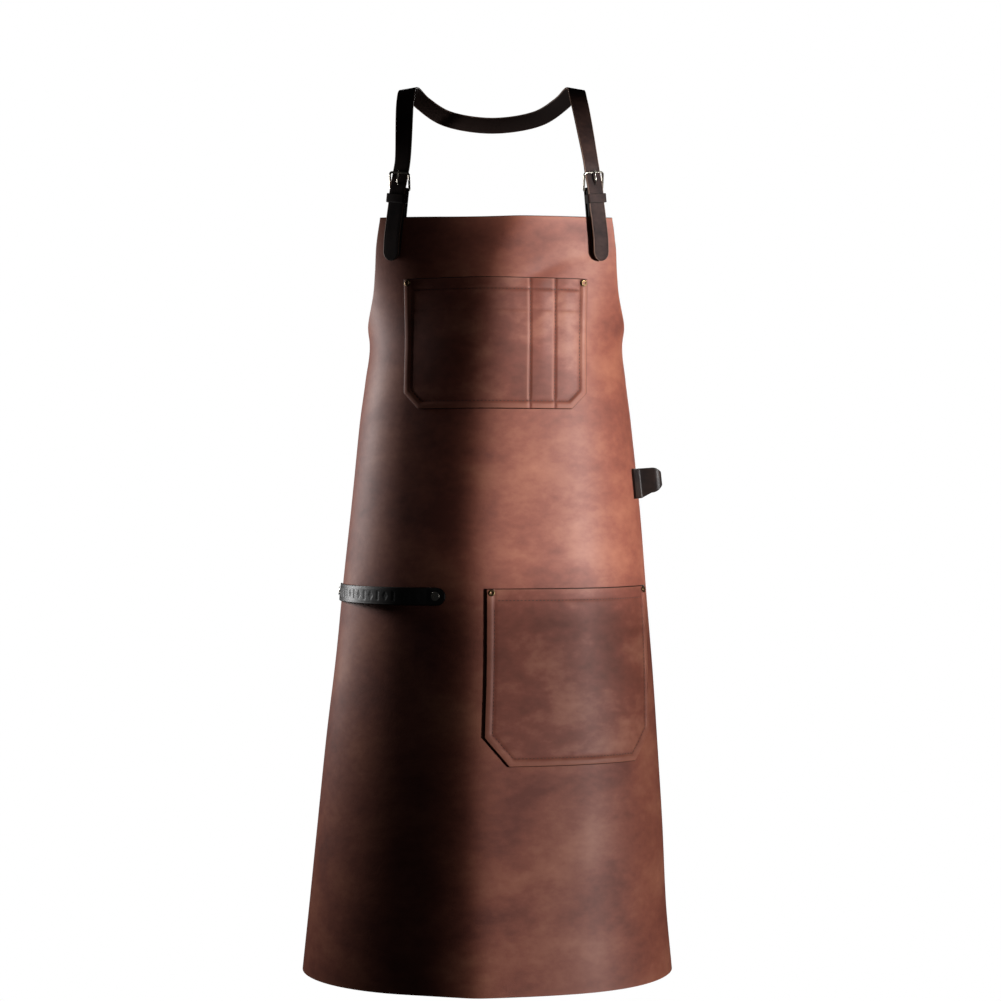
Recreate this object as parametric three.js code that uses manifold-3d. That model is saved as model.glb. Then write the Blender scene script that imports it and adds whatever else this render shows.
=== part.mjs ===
import * as THREE from "three";
import { mergeVertices } from "three/addons/utils/BufferGeometryUtils.js";
import Module from "manifold-3d";

// A leather kitchen apron as worn: a bib panel bent round the body, two patch pockets, a buckled neck strap,
// a towel strap, a side loop and a waist band. Millimetres, +Z up, the front faces -Y. +X is the viewer's
// right, and left and right in the names are the viewer's. The origin is the neck strap's inner face at the
// nape.

// Panel
const PANEL_DROP = 843; // bib's top edge straight down to the hem
const LEATHER = 2; // panel leather
const HEM_HALF_WIDTH = 210; // from the centre line to the side as seen from the front, at the hem
const HEM_REACH = 59; // the hem's centre front stands this far before the bib's top
const LEAN = 5; // the centre line drifts this far to each side from top to hem
const TURN_POWER = 1.6; // above 1, the section is flatter in front and turns more at the sides
const BIB_HALF_ARC = 134; // from the centre line to the cut edge along the leather, at the bib's top
const EAR_HALF_ARC = 292; // the same at the waist, where the waist bands are riveted
const HEM_HALF_ARC = 320; // the same at the hem
const EAR_DROP = 285; // from the bib's top down to the ears
const HEM_CORNER = 14; // radius of the hem's corners
const CORNER_LIFT = 2.5; // the straps pull the bib's corners this far up

// Pockets
const POCKET_LEATHER = 1.6;
const POCKET_WIDTH = 205;
const POCKET_BORDER = 10; // turned edge, two layers thick
const POCKET_MOUTH_HEM = 13; // the seam under a pocket's mouth
const CHEST_LEFT = -103; // arc from the centre line to the chest pocket's left edge
const CHEST_TOP = 67.5; // drop of its mouth
const CHEST_HEIGHT = 144;
const CHEST_CORNER = 18; // width and height of its cut-off lower corners
const PEN_SEAM_IN = 37; // arc of the seam between the main pocket and the first pen slot
const PEN_SEAM_OUT = 64.5; // arc of the seam between the two pen slots
const CHEST_GAPE = 8.5; // how far the mouth stands open in the middle
const PEN_GAPE = 6;
const HIP_LEFT = -8.5;
const HIP_TOP = 407;
const HIP_HEIGHT = 192;
const HIP_CORNER_WIDTH = 28;
const HIP_CORNER_HEIGHT = 32;
const HIP_GAPE = 11;
const GAPE_POWER = 1.5; // above 1, a pocket stays open further down
const MOUTH_POWER = 0.8; // below 1, its mouth opens more abruptly beside a seam
const SEAM_HALF = 3; // a seam presses the leather down over this distance to each side
const STEP = 1; // width of the step from a doubled edge to the single field
const WIDE_COMPARTMENT = 60; // a wider one takes more columns
const WIDE_COLUMNS = 10;
const NARROW_COLUMNS = 4;

// Straps
const STRAP_WIDTH = 20;
const STRAP = 2.2; // strap leather
const STRAP_INSET = 22; // from the bib's cut edge to the strap's centre line
const STRAP_UPRIGHT = 0.052; // inwards per length down, as the strap stands more upright than the cut edge
const CHAPE_DOWN = 48; // the buckle strap's front layer reaches this far below the bib's edge
const CHAPE_BACK_DOWN = 24; // and its back layer this far
const TIP_DOWN = 49; // the neck strap's free tip reaches this far below the bib's edge
const TIP_STAND = 6; // the tip stands this far off the panel where it passes the rivet
const TIP_END_STAND = 4.8; // and this far at its end
const TIP_INWARD = 1; // its end swings this far inwards of the buckle strap
const NECK_RIDGE_HALF = 98; // from the centre to the strap where it crosses the shoulder
const NECK_RISE = 158; // shoulder crossing above the bib's edge
const NAPE_REACH = 178; // nape behind the bib's front
const NAPE_RISE = 130; // nape above the bib's edge
const STRAP_SETTLE = 14; // above the buckle's top bar, to where the strap is back on its line
const STRAP_STEP = 11; // length of strap between two sections

// Buckle, prong and keeper
const WIRE = 1.3; // radius of the buckle's wire
const HEEL_RISE = 29; // heel bar above the bib's edge
const BUCKLE_HEIGHT = 20; // between the middles of the two bars
const BUCKLE_SLACK = 0.9; // room to each side of the strap inside the frame
const BUCKLE_CORNER = 3;
const TOP_BAR_OUT = 4.2; // top bar's middle before the panel's face
const PRONG = 1; // radius of the prong
const PRONG_PAST = 2.6; // its tip passes the top bar's middle by this
const PRONG_SLOT_RISE = 7.6; // middle of its slot in the neck strap above the heel bar
const PRONG_SLOT_LENGTH = 8.2;
const KEEPER_RISE = 20; // keeper's middle above the bib's edge
const KEEPER_HEIGHT = 10;
const KEEPER_WALL = 1.5;
const KEEPER_SLACK = 0.7;
const KEEPER_CORNER = 2;
const KEEPER_DEPTH = 6.2; // room inside, from the buckle strap's back to the tip's face

// Rivets
const RIVET_SHAFT = 1.5;
const RIVET_CAP = 3.8;
const RIVET_CAP_HEIGHT = 1.1;
const RIVET_TAPER = 0.8; // a cap's flat top, share of its radius
const RIVET_SIDES = 10;
const RIVET_INSET = 5; // from a pocket's edges to its rivets
const STUD_CAP = 5;

// Towel strap, side loop and waist band
const TOWEL_DROP = 416; // middle of the band
const TOWEL_WIDTH = 20;
const TOWEL_END = -52; // arc of the rounded end in front
const TOWEL_LENGTH = 192;
const TOWEL_BOW = 7.5; // the band stands off this far, for the towel
const TOWEL_BOW_AT = 0.3; // where it stands off most, share of its free length
const TOWEL_BOW_POWER = 1.6; // above 1, it leaves the panel more softly
const TOWEL_STUD_IN = 10.5; // studs from the band's ends
const LOOP_DROP = 278; // top of the side loop
const LOOP_HEIGHT = 34; // at its feet
const LOOP_END_HEIGHT = 24; // at its outer end
const LOOP_ARC = 208; // arc of the loop's middle
const LOOP_OUT = 27; // how far it stands out
const LOOP_HALF = 6.2; // half the distance between the two legs' middles
const LOOP_FOOT = 17; // length of the feet that lie on the panel
const LOOP_BEND = 4; // radius from foot to leg
const LOOP_ROUND = 7; // rounded upper outer corner
const WAIST_DROP = 300; // middle of the waist band
const WAIST_WIDTH = 22;
const WAIST_LAP = 28; // the band laps over the ear by this
const WAIST_RIVET_IN = 14;
const CLASP_HALF = 24;
const CLASP_WALL = 1.6;
const CLASP_SLACK = 0.9; // room round the bands inside the clasp

// Gaps
const GAP = 0.3; // between touching pieces
const BACK_GAP = 1.1; // between a rivet's back cap and the bent panel
const LAY_GAP = 0.45; // between a bent layer and the bent panel under it
const CHAPE_GAP = 0.8; // between the flat buckle strap and the bent bib
const SHAFT_GAP = 0.3;
const CUT_MARGIN = 8; // a cutting tool reaches this far past what it cuts
const PROBE = 1; // to the neighbouring points that a direction on the worn shape is taken from

// The worn shape from the bib's top to the hem. at: share of PANEL_DROP. half: half the width seen from the
// front, share of HEM_HALF_WIDTH. aside: centre line, share of LEAN. ahead: centre front, share of HEM_REACH.
const SECTIONS = [
  { at: 0, half: 0.9, aside: 0.9, ahead: 0 },
  { at: 0.059, half: 0.813, aside: 0.9, ahead: 0.07 },
  { at: 0.112, half: 0.738, aside: 0.9, ahead: 0.14 },
  { at: 0.159, half: 0.684, aside: 0.9, ahead: 0.18 },
  { at: 0.211, half: 0.706, aside: 0.8, ahead: 0.2 },
  { at: 0.265, half: 0.737, aside: 0.75, ahead: 0.21 },
  { at: 0.373, half: 0.782, aside: 0.75, ahead: 0.25 },
  { at: 0.478, half: 0.822, aside: 0.5, ahead: 0.34 },
  { at: 0.589, half: 0.861, aside: 0.4, ahead: 0.47 },
  { at: 0.697, half: 0.901, aside: -0.1, ahead: 0.61 },
  { at: 0.806, half: 0.937, aside: -0.5, ahead: 0.75 },
  { at: 0.914, half: 0.967, aside: -1, ahead: 0.89 },
  { at: 1, half: 1, aside: -1.1, ahead: 1 },
];

// The armhole's cut edge. down: share of EAR_DROP. out: share of the way from BIB_HALF_ARC to EAR_HALF_ARC.
const ARMHOLE = [
  { down: 0, out: 0 },
  { down: 0.105, out: 0.044 },
  { down: 0.21, out: 0.072 },
  { down: 0.3, out: 0.116 },
  { down: 0.37, out: 0.2 },
  { down: 0.44, out: 0.352 },
  { down: 0.56, out: 0.568 },
  { down: 0.7, out: 0.753 },
  { down: 0.84, out: 0.895 },
  { down: 1, out: 1 },
];

// The neck strap from the shoulder to the nape, on one side. side: share of NECK_RIDGE_HALF. back: share of
// NAPE_REACH. up: share of NECK_RISE. The rest is the way the strap's outer face looks.
const SHOULDER = [
  { side: 0.99, back: 0.25, up: 0.855, faceSide: 0.1, faceBack: -0.7, faceUp: 0.7 },
  { side: 0.955, back: 0.579, up: 1, faceSide: 0.2, faceBack: 0, faceUp: 0.98 },
  { side: 0.82, back: 0.78, up: 0.943, faceSide: 0.35, faceBack: 0.45, faceUp: 0.82 },
  { side: 0.54, back: 0.93, up: 0.861, faceSide: 0.3, faceBack: 0.75, faceUp: 0.6 },
];

const COLOURS = {
  hide: { color: 0x8a5848, roughness: 0.5, metalness: 0 },
  pocket: { color: 0x7c4c3f, roughness: 0.5, metalness: 0 },
  strap: { color: 0x2c1a16, roughness: 0.45, metalness: 0 },
  rivet: { color: 0x9a7a4c, roughness: 0.35, metalness: 1 },
  buckle: { color: 0xb9b2a8, roughness: 0.25, metalness: 1 },
};

const library = await Module();
library.setup();

// Value of a table's column at a place between its rows, on a smooth curve through them.
function along(rows, key, column, place) {
  const last = rows.length - 1;
  let k = rows.findIndex((row) => row[key] > place) - 1;
  if (k === -2) k = last - 1;
  k = Math.max(k, 0);
  const slopeOver = (a, b) => (rows[b][column] - rows[a][column]) / (rows[b][key] - rows[a][key]);
  const slopeAt = (i) => slopeOver(Math.max(i - 1, 0), Math.min(i + 1, last));
  const span = rows[k + 1][key] - rows[k][key];
  const t = THREE.MathUtils.clamp((place - rows[k][key]) / span, 0, 1);
  const rise = (2 * t - 3) * t * t;
  return (
    (1 + rise) * rows[k][column] - rise * rows[k + 1][column] +
    span * t * (1 - t) * ((1 - t) * slopeAt(k) - t * slopeAt(k + 1))
  );
}

// Half a section with a quarter girth of 1, as running sums over its arc: across, back and the way it turns.
const ARC_COUNT = 400;
const HALF_SECTION = (() => {
  const points = [{ across: 0, back: 0 }];
  for (let i = 0; i < 2 * ARC_COUNT; i += 1) {
    const turn = turnAt((i + 0.5) / ARC_COUNT);
    const before = points[i];
    points.push({
      across: before.across + Math.cos(turn) / ARC_COUNT,
      back: before.back + Math.sin(turn) / ARC_COUNT,
    });
  }
  return points;
})();

// The angle that a section has turned by, after a share of its quarter girth: 90 degrees at 1, 180 at 2.
function turnAt(share) {
  const quarter = Math.PI / 2;
  if (share < 1) return quarter * share ** TURN_POWER;
  return 2 * quarter - quarter * Math.max(2 - share, 0) ** TURN_POWER;
}

// The arc from the centre line to the side at a drop.
function quarterGirth(drop) {
  const half = HEM_HALF_WIDTH * along(SECTIONS, "at", "half", drop / PANEL_DROP);
  return half / HALF_SECTION[ARC_COUNT].across;
}

// A point of the worn shape. arc: from the centre line, + to the right. offset: outwards from the panel's
// inner face.
function skin(arc, drop, offset) {
  const girth = quarterGirth(drop);
  const share = Math.min(Math.abs(arc) / girth, 2);
  const place = share * ARC_COUNT;
  const i = Math.min(Math.floor(place), 2 * ARC_COUNT - 1);
  const part = place - i;
  const mix = (key) => HALF_SECTION[i][key] + part * (HALF_SECTION[i + 1][key] - HALF_SECTION[i][key]);
  const turn = turnAt(share);
  const out = offset - LEATHER;
  const side = Math.sign(arc) || 1;
  const centre = LEAN * along(SECTIONS, "at", "aside", drop / PANEL_DROP);
  const front = -HEM_REACH * along(SECTIONS, "at", "ahead", drop / PANEL_DROP);
  return new THREE.Vector3(
    centre + side * (girth * mix("across") + out * Math.sin(turn)),
    front + girth * mix("back") - out * Math.cos(turn),
    -drop,
  );
}

// The arc from the centre line to the panel's cut edge at a drop.
function cutEdge(drop) {
  if (drop < EAR_DROP) {
    return BIB_HALF_ARC + (EAR_HALF_ARC - BIB_HALF_ARC) * along(ARMHOLE, "down", "out", drop / EAR_DROP);
  }
  const side = THREE.MathUtils.mapLinear(drop, EAR_DROP, PANEL_DROP, EAR_HALF_ARC, HEM_HALF_ARC);
  const into = Math.max(drop - (PANEL_DROP - HEM_CORNER), 0);
  return side - HEM_CORNER + Math.sqrt(HEM_CORNER ** 2 - into ** 2);
}

// How far the bib's edge rises above its middle at an arc.
function cornerLift(arc) {
  return CORNER_LIFT * (arc / BIB_HALF_ARC) ** 2;
}

function steps(from, to, count) {
  return Array.from({ length: count + 1 }, (_, i) => from + ((to - from) * i) / count);
}

// Drops copied vertices and the flat triangles that they leave, so that the mesh is closed.
function closed(geometry) {
  const bare = new THREE.BufferGeometry();
  bare.setAttribute("position", geometry.getAttribute("position"));
  bare.setIndex(geometry.getIndex());
  const merged = mergeVertices(bare, 1e-4);
  const index = merged.getIndex().array;
  const kept = [];
  for (let i = 0; i < index.length; i += 3) {
    const [a, b, c] = index.slice(i, i + 3);
    if (a !== b && b !== c && c !== a) kept.push(a, b, c);
  }
  merged.setIndex(kept);
  return merged;
}

function toSolid(geometry) {
  const whole = closed(geometry);
  return new library.Manifold(
    new library.Mesh({
      numProp: 3,
      vertProperties: new Float32Array(whole.getAttribute("position").array),
      triVerts: new Uint32Array(whole.getIndex().array),
    }),
  );
}

function toGeometry(solid) {
  const mesh = solid.getMesh();
  const geometry = new THREE.BufferGeometry();
  geometry.setAttribute("position", new THREE.BufferAttribute(mesh.vertProperties, 3));
  geometry.setIndex(new THREE.BufferAttribute(mesh.triVerts, 1));
  return geometry;
}

function cut(geometry, ...tools) {
  return toGeometry(tools.reduce((left, tool) => left.subtract(toSolid(tool)), toSolid(geometry)));
}

function common(geometry, other) {
  return toGeometry(toSolid(geometry).intersect(toSolid(other)));
}

function join(geometry, other) {
  return toGeometry(toSolid(geometry).add(toSolid(other)));
}

// A solid through a row of rings, each a list of points that runs the same way round. Seen from the row's
// start, the rings run clockwise. A loop of rings needs no ends.
function sweep(rings, isLoop = false) {
  const sides = rings[0].length;
  const index = [];
  const spans = isLoop ? rings.length : rings.length - 1;
  for (let i = 0; i < spans; i += 1) {
    const next = (i + 1) % rings.length;
    for (let j = 0; j < sides; j += 1) {
      const a = i * sides + j;
      const b = i * sides + ((j + 1) % sides);
      const c = next * sides + ((j + 1) % sides);
      const d = next * sides + j;
      index.push(a, b, c, a, c, d);
    }
  }
  const lastRing = (rings.length - 1) * sides;
  for (let j = 1; j < sides - 1 && !isLoop; j += 1) {
    index.push(0, j + 1, j, lastRing, lastRing + j, lastRing + j + 1);
  }
  const geometry = new THREE.BufferGeometry().setFromPoints(rings.flat());
  geometry.setIndex(index);
  return geometry;
}

// A sheet solid between two grids of points, outer and inner, that have the same rows and columns.
function sheet(outer, inner) {
  const rows = outer.length;
  const columns = outer[0].length;
  const at = (layer, row, column) => (layer * rows + row) * columns + column;
  const index = [];
  const quad = (a, b, c, d) => index.push(a, b, c, a, c, d);
  for (let r = 0; r < rows - 1; r += 1) {
    for (let c = 0; c < columns - 1; c += 1) {
      quad(at(0, r, c), at(0, r + 1, c), at(0, r + 1, c + 1), at(0, r, c + 1));
      quad(at(1, r, c), at(1, r, c + 1), at(1, r + 1, c + 1), at(1, r + 1, c));
    }
    quad(at(0, r, 0), at(1, r, 0), at(1, r + 1, 0), at(0, r + 1, 0));
    quad(at(0, r, columns - 1), at(0, r + 1, columns - 1), at(1, r + 1, columns - 1), at(1, r, columns - 1));
  }
  for (let c = 0; c < columns - 1; c += 1) {
    quad(at(0, 0, c), at(0, 0, c + 1), at(1, 0, c + 1), at(1, 0, c));
    quad(at(0, rows - 1, c), at(1, rows - 1, c), at(1, rows - 1, c + 1), at(0, rows - 1, c + 1));
  }
  const geometry = new THREE.BufferGeometry().setFromPoints([...outer.flat(), ...inner.flat()]);
  geometry.setIndex(index);
  return geometry;
}

// A frame on the worn shape: x along the arc, y into the body, z up the leather, origin at the given offset.
function frameOn(arc, drop, offset) {
  const here = skin(arc, drop, offset);
  const across = skin(arc + PROBE, drop, offset).sub(skin(arc - PROBE, drop, offset)).normalize();
  const up = skin(arc, drop - PROBE, offset).sub(skin(arc, drop + PROBE, offset));
  up.addScaledVector(across, -up.dot(across)).normalize();
  return frameFrom(here, across, up);
}

function frameFrom(origin, across, up) {
  const matrix = new THREE.Matrix4().makeBasis(across, up.clone().cross(across), up);
  return matrix.setPosition(origin);
}

// A rivet's shaft and caps along y, from the inner face at y = 0 outwards to y = -stack.
function rivetBody(stack, cap = RIVET_CAP) {
  const foot = BACK_GAP + RIVET_CAP_HEIGHT;
  const head = -stack - GAP;
  const profile = [
    [0, foot],
    [cap, foot],
    [cap, BACK_GAP],
    [RIVET_SHAFT, BACK_GAP],
    [RIVET_SHAFT, head],
    [cap, head],
    [RIVET_TAPER * cap, head - RIVET_CAP_HEIGHT],
    [0, head - RIVET_CAP_HEIGHT],
  ].map(([x, y]) => new THREE.Vector2(x, y));
  return closed(new THREE.LatheGeometry(profile.reverse(), RIVET_SIDES));
}

// The tool that cuts a rivet's hole through a stack, in the rivet's own frame.
function rivetHole(stack) {
  const length = stack + 2 * CUT_MARGIN;
  const tool = new THREE.CylinderGeometry(RIVET_SHAFT + SHAFT_GAP, RIVET_SHAFT + SHAFT_GAP, length, 12);
  return tool.translate(0, -stack / 2, 0);
}

// A rectangular strap section about a centre: across is the strap's width direction, face its outer side.
function strapRing(centre, across, face, halfWidth, thickness) {
  const corner = (w, f) =>
    centre.clone().addScaledVector(across, w * halfWidth).addScaledVector(face, (f * thickness) / 2);
  return [corner(-1, -1), corner(-1, 1), corner(1, 1), corner(1, -1)];
}

// Half the width of a round-ended strap at a distance from its end.
function roundEnd(distance, halfWidth) {
  const short = Math.max(halfWidth - distance, 0);
  return Math.sqrt(Math.max(halfWidth ** 2 - short ** 2, 0));
}

// Distances from a strap's end at which its rounded end gets a ring.
function endSteps(halfWidth) {
  return [0.02, 0.12, 0.3, 0.55, 1].map((share) => share * halfWidth);
}

// A band on the worn shape from one arc to another. lift: how far its inner face stands off the panel's
// outer face.
function band(from, to, drop, width, thickness, roundFrom, roundTo, lift) {
  const length = Math.abs(to - from);
  const way = Math.sign(to - from);
  const ends = endSteps(width / 2);
  const inside = steps(width / 2, length - width / 2, Math.ceil((length - width) / STRAP_STEP)).slice(1, -1);
  const places = [
    ...(roundFrom ? ends : [0, width / 2]),
    ...inside,
    ...(roundTo ? ends.map((d) => length - d).reverse() : [length - width / 2, length]),
  ];
  const rings = places.map((place) => {
    const startHalf = roundFrom ? roundEnd(place, width / 2) : width / 2;
    const endHalf = roundTo ? roundEnd(length - place, width / 2) : width / 2;
    const half = Math.min(startHalf, endHalf);
    const arc = from + way * place;
    const low = LEATHER + lift(place / length);
    const rows = [
      [drop + half, low],
      [drop + half, low + thickness],
      [drop - half, low + thickness],
      [drop - half, low],
    ].map(([d, offset]) => skin(arc, d, offset));
    return way > 0 ? rows.reverse() : rows;
  });
  return sweep(rings);
}

function panel(holes) {
  const drops = [
    ...steps(0, EAR_DROP, 15),
    ...steps(EAR_DROP, PANEL_DROP - HEM_CORNER, 10).slice(1),
    ...[0.55, 0.9, 1].map((share) => PANEL_DROP - HEM_CORNER + share * HEM_CORNER),
  ];
  // Columns lie closer together towards the cut edges, where the panel is bent most.
  const shares = steps(-1, 1, 28).map((k) => Math.sign(k) * (1 - (1 - Math.abs(k)) ** 1.3));
  const grid = (offset) =>
    drops.map((drop) =>
      shares.map((share) => {
        const arc = share * cutEdge(drop);
        const lifted = drop - cornerLift(share * BIB_HALF_ARC) * (1 - Math.min(drop / EAR_DROP, 1));
        const point = skin(arc, Math.max(drop, 0), offset);
        return point.setZ(-lifted);
      }),
    );
  return cut(sheet(grid(LEATHER), grid(0)), ...holes);
}

// A patch pocket with turned edges. seams part it into compartments, and gapes says how far each stands open.
function pocket({ left, top, height, cornerWidth, cornerHeight, seams, gapes, holes }) {
  const right = left + POCKET_WIDTH;
  const cornerTop = height - cornerHeight;
  const inset = (down) => (cornerWidth * Math.max(down - cornerTop, 0)) / cornerHeight;
  const field = height - POCKET_BORDER;
  const middle = steps(POCKET_MOUTH_HEM, Math.min(cornerTop, field), 3);
  const downs = [0, ...middle, ...steps(cornerTop, height, 3), field - STEP, field]
    .sort((a, b) => a - b)
    .filter((down, i, all) => i === 0 || down - all[i - 1] > STEP / 2);
  // Each column is its arc, what lies under it and its compartment's opening there.
  const columnsAt = (down) => {
    const first = left + inset(down);
    const last = right - inset(down);
    const bounds = [first + POCKET_BORDER, ...seams, last - POCKET_BORDER];
    const columns = [{ arc: first, doubled: true, open: 0 }, { arc: bounds[0], doubled: true, open: 0 }];
    gapes.forEach((gape, k) => {
      const from = bounds[k] + (k === 0 ? STEP : SEAM_HALF);
      const to = bounds[k + 1] - (k === gapes.length - 1 ? STEP : SEAM_HALF);
      const count = bounds[k + 1] - bounds[k] > WIDE_COMPARTMENT ? WIDE_COLUMNS : NARROW_COLUMNS;
      steps(0, 1, count).forEach((share) => {
        const mouth = Math.sin(Math.PI * share) ** MOUTH_POWER;
        columns.push({ arc: from + share * (to - from), field: true, open: gape * mouth });
      });
      if (k < seams.length) columns.push({ arc: seams[k], seam: true, open: 0 });
    });
    columns.push({ arc: bounds.at(-1), doubled: true, open: 0 }, { arc: last, doubled: true, open: 0 });
    return columns;
  };
  const grid = (isOuter) =>
    downs.map((down) =>
      columnsAt(down).map((column) => {
        const fades = 1 - Math.min(down / field, 1) ** GAPE_POWER;
        const lift = column.field && down < field ? POCKET_LEATHER + column.open * fades : 0;
        const layers = column.doubled || down >= field ? 2 : 1;
        const under = LEATHER + LAY_GAP + lift;
        return skin(column.arc, top + down, isOuter ? under + layers * POCKET_LEATHER : under);
      }),
    );
  return cut(sheet(grid(true), grid(false)), ...holes);
}

// The frame of a strap's end at a bib corner: z up along the strap from the bib's edge, y into the body from
// the panel's outer face, x to the viewer's right.
function strapFrame(side) {
  const place = (drop) => side * (cutEdge(drop) - STRAP_INSET - STRAP_UPRIGHT * drop);
  const topArc = place(0);
  const origin = skin(topArc, 0, LEATHER).setZ(cornerLift(topArc));
  const low = skin(place(CHAPE_DOWN), CHAPE_DOWN, LEATHER);
  const up = origin.clone().sub(low).normalize();
  const middle = CHAPE_DOWN / 2;
  const middleArc = place(middle);
  const across = skin(middleArc + PROBE, middle, LEATHER)
    .sub(skin(middleArc - PROBE, middle, LEATHER))
    .normalize();
  across.addScaledVector(up, -across.dot(up)).normalize();
  return frameFrom(origin, across, up);
}

// Places beside a strap's path, out from the panel's face and up from the bib's edge.
const CHAPE_FRONT = CHAPE_GAP + STRAP / 2;
const CHAPE_BACK = -LEATHER - CHAPE_GAP - GAP - STRAP / 2;
const FOLD = WIRE + GAP + STRAP / 2;
const HEEL_OUT = CHAPE_FRONT - FOLD;
const HEEL_TOP_OUT = CHAPE_FRONT + STRAP + GAP;
const TOP_BAR_RISE = HEEL_RISE + Math.sqrt(BUCKLE_HEIGHT ** 2 - (TOP_BAR_OUT - HEEL_OUT) ** 2);
const UNDER_TOP_BAR = TOP_BAR_OUT - WIRE - GAP - STRAP / 2;
const BUCKLE_HALF = STRAP_WIDTH / 2 + BUCKLE_SLACK + WIRE;

const nape = new THREE.Vector3(0, NAPE_REACH, NAPE_RISE);
const napeFace = new THREE.Vector3(0, 0.85, 0.53).normalize();

// The neck strap: both free tips, through the buckles, over the shoulders and round the nape.
function neckStrap(frames, slots) {
  const points = [];
  const faces = [];
  for (const side of [-1, 1]) {
    const frame = frames[side];
    const local = (aside, out, rise) => new THREE.Vector3(side * aside, -out, rise).applyMatrix4(frame);
    const outward = new THREE.Vector3(0, -1, 0).transformDirection(frame);
    const half = [
      [local(-TIP_INWARD, TIP_END_STAND, -TIP_DOWN), outward],
      [local(0, TIP_STAND, -TIP_DOWN / 2), outward],
      [local(0, (TIP_STAND + HEEL_TOP_OUT) / 2, 0), outward],
      [local(0, HEEL_TOP_OUT, KEEPER_RISE - KEEPER_HEIGHT / 2), outward],
      [local(0, HEEL_TOP_OUT, HEEL_RISE), outward],
      [local(0, (HEEL_TOP_OUT + UNDER_TOP_BAR) / 2, (HEEL_RISE + TOP_BAR_RISE) / 2), outward],
      [local(0, UNDER_TOP_BAR, TOP_BAR_RISE), outward],
      [local(0, 0, TOP_BAR_RISE + STRAP_SETTLE), outward],
      ...SHOULDER.map((row) => [
        new THREE.Vector3(side * row.side * NECK_RIDGE_HALF, row.back * NAPE_REACH, row.up * NECK_RISE),
        new THREE.Vector3(side * row.faceSide, row.faceBack, row.faceUp).normalize(),
      ]),
    ];
    const ordered = side < 0 ? half : [[nape, napeFace], ...half.reverse()];
    points.push(...ordered.map((pair) => pair[0]));
    faces.push(...ordered.map((pair) => pair[1]));
  }
  const path = new THREE.CatmullRomCurve3(points, false, "centripetal");
  const looks = new THREE.CatmullRomCurve3(faces, false, "catmullrom", 0.5);
  const length = path.getLength();
  const halfWidth = STRAP_WIDTH / 2;
  const ends = endSteps(halfWidth);
  const inside = steps(halfWidth, length - halfWidth, Math.round(length / STRAP_STEP)).slice(1, -1);
  const places = [...ends, ...inside, ...ends.map((d) => length - d).reverse()];
  const rings = places.map((place) => {
    const t = path.getUtoTmapping(place / length);
    const way = path.getTangent(t);
    const face = looks.getPoint(t);
    face.addScaledVector(way, -face.dot(way)).normalize();
    const across = way.clone().cross(face);
    const half = Math.min(roundEnd(place, halfWidth), roundEnd(length - place, halfWidth));
    return strapRing(path.getPoint(t), across, face, half, STRAP);
  });
  return cut(sweep(rings), ...slots);
}

// A flat strip's outline: a path thickened to both sides.
function strip(path, thickness) {
  const offset = (sideways) =>
    path.map((point, i) => {
      const before = path[Math.max(i - 1, 0)];
      const after = path[Math.min(i + 1, path.length - 1)];
      const way = after.clone().sub(before).normalize();
      const out = (sideways * thickness) / 2;
      return new THREE.Vector2(point.x - way.y * out, point.y + way.x * out);
    });
  return new THREE.Shape([...offset(1), ...offset(-1).reverse()]);
}

function arcPath(centre, radius, from, to, count) {
  return steps(from, to, count).map(
    (angle) => new THREE.Vector2(centre.x + radius * Math.cos(angle), centre.y + radius * Math.sin(angle)),
  );
}

// A shape of (out from the panel's face, rise) pulled across the strap's width, in a strap frame.
function acrossStrap(shape, width) {
  const geometry = new THREE.ExtrudeGeometry(shape, { depth: width, bevelEnabled: false });
  const turn = new THREE.Matrix4().makeBasis(
    new THREE.Vector3(0, -1, 0),
    new THREE.Vector3(0, 0, 1),
    new THREE.Vector3(-1, 0, 0),
  );
  return geometry.applyMatrix4(turn).translate(width / 2, 0, 0);
}

// The front outline of a round-ended strap, as a block through every layer.
function strapOutline(low, high) {
  const half = STRAP_WIDTH / 2;
  const shape = new THREE.Shape([
    ...arcPath(new THREE.Vector2(0, low + half), half, Math.PI, 2 * Math.PI, 12),
    new THREE.Vector2(half, high),
    new THREE.Vector2(-half, high),
  ]);
  const depth = 4 * CUT_MARGIN;
  const geometry = new THREE.ExtrudeGeometry(shape, { depth, bevelEnabled: false });
  return geometry.rotateX(Math.PI / 2).translate(0, depth / 2, 0);
}

// The short strap that holds the buckle: up the bib's front, round the heel bar and down behind the bib.
function buckleStrap(holeTool) {
  const bar = new THREE.Vector2(HEEL_OUT, HEEL_RISE);
  const path = [
    new THREE.Vector2(CHAPE_FRONT, -CHAPE_DOWN),
    new THREE.Vector2(CHAPE_FRONT, HEEL_RISE / 3),
    ...arcPath(bar, FOLD, 0, Math.PI, 8),
    new THREE.Vector2(CHAPE_BACK, HEEL_RISE / 3),
    new THREE.Vector2(CHAPE_BACK, -CHAPE_BACK_DOWN),
  ];
  const folded = acrossStrap(strip(path, STRAP), STRAP_WIDTH);
  const rounded = common(folded, strapOutline(-CHAPE_DOWN, HEEL_RISE + CUT_MARGIN));
  const slotHalf = PRONG + WIRE / 2 + GAP;
  const slot = new THREE.BoxGeometry(2 * slotHalf, 4 * FOLD, 3 * FOLD);
  slot.translate(0, -HEEL_OUT, HEEL_RISE + FOLD / 3);
  return cut(rounded, slot, holeTool);
}

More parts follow.
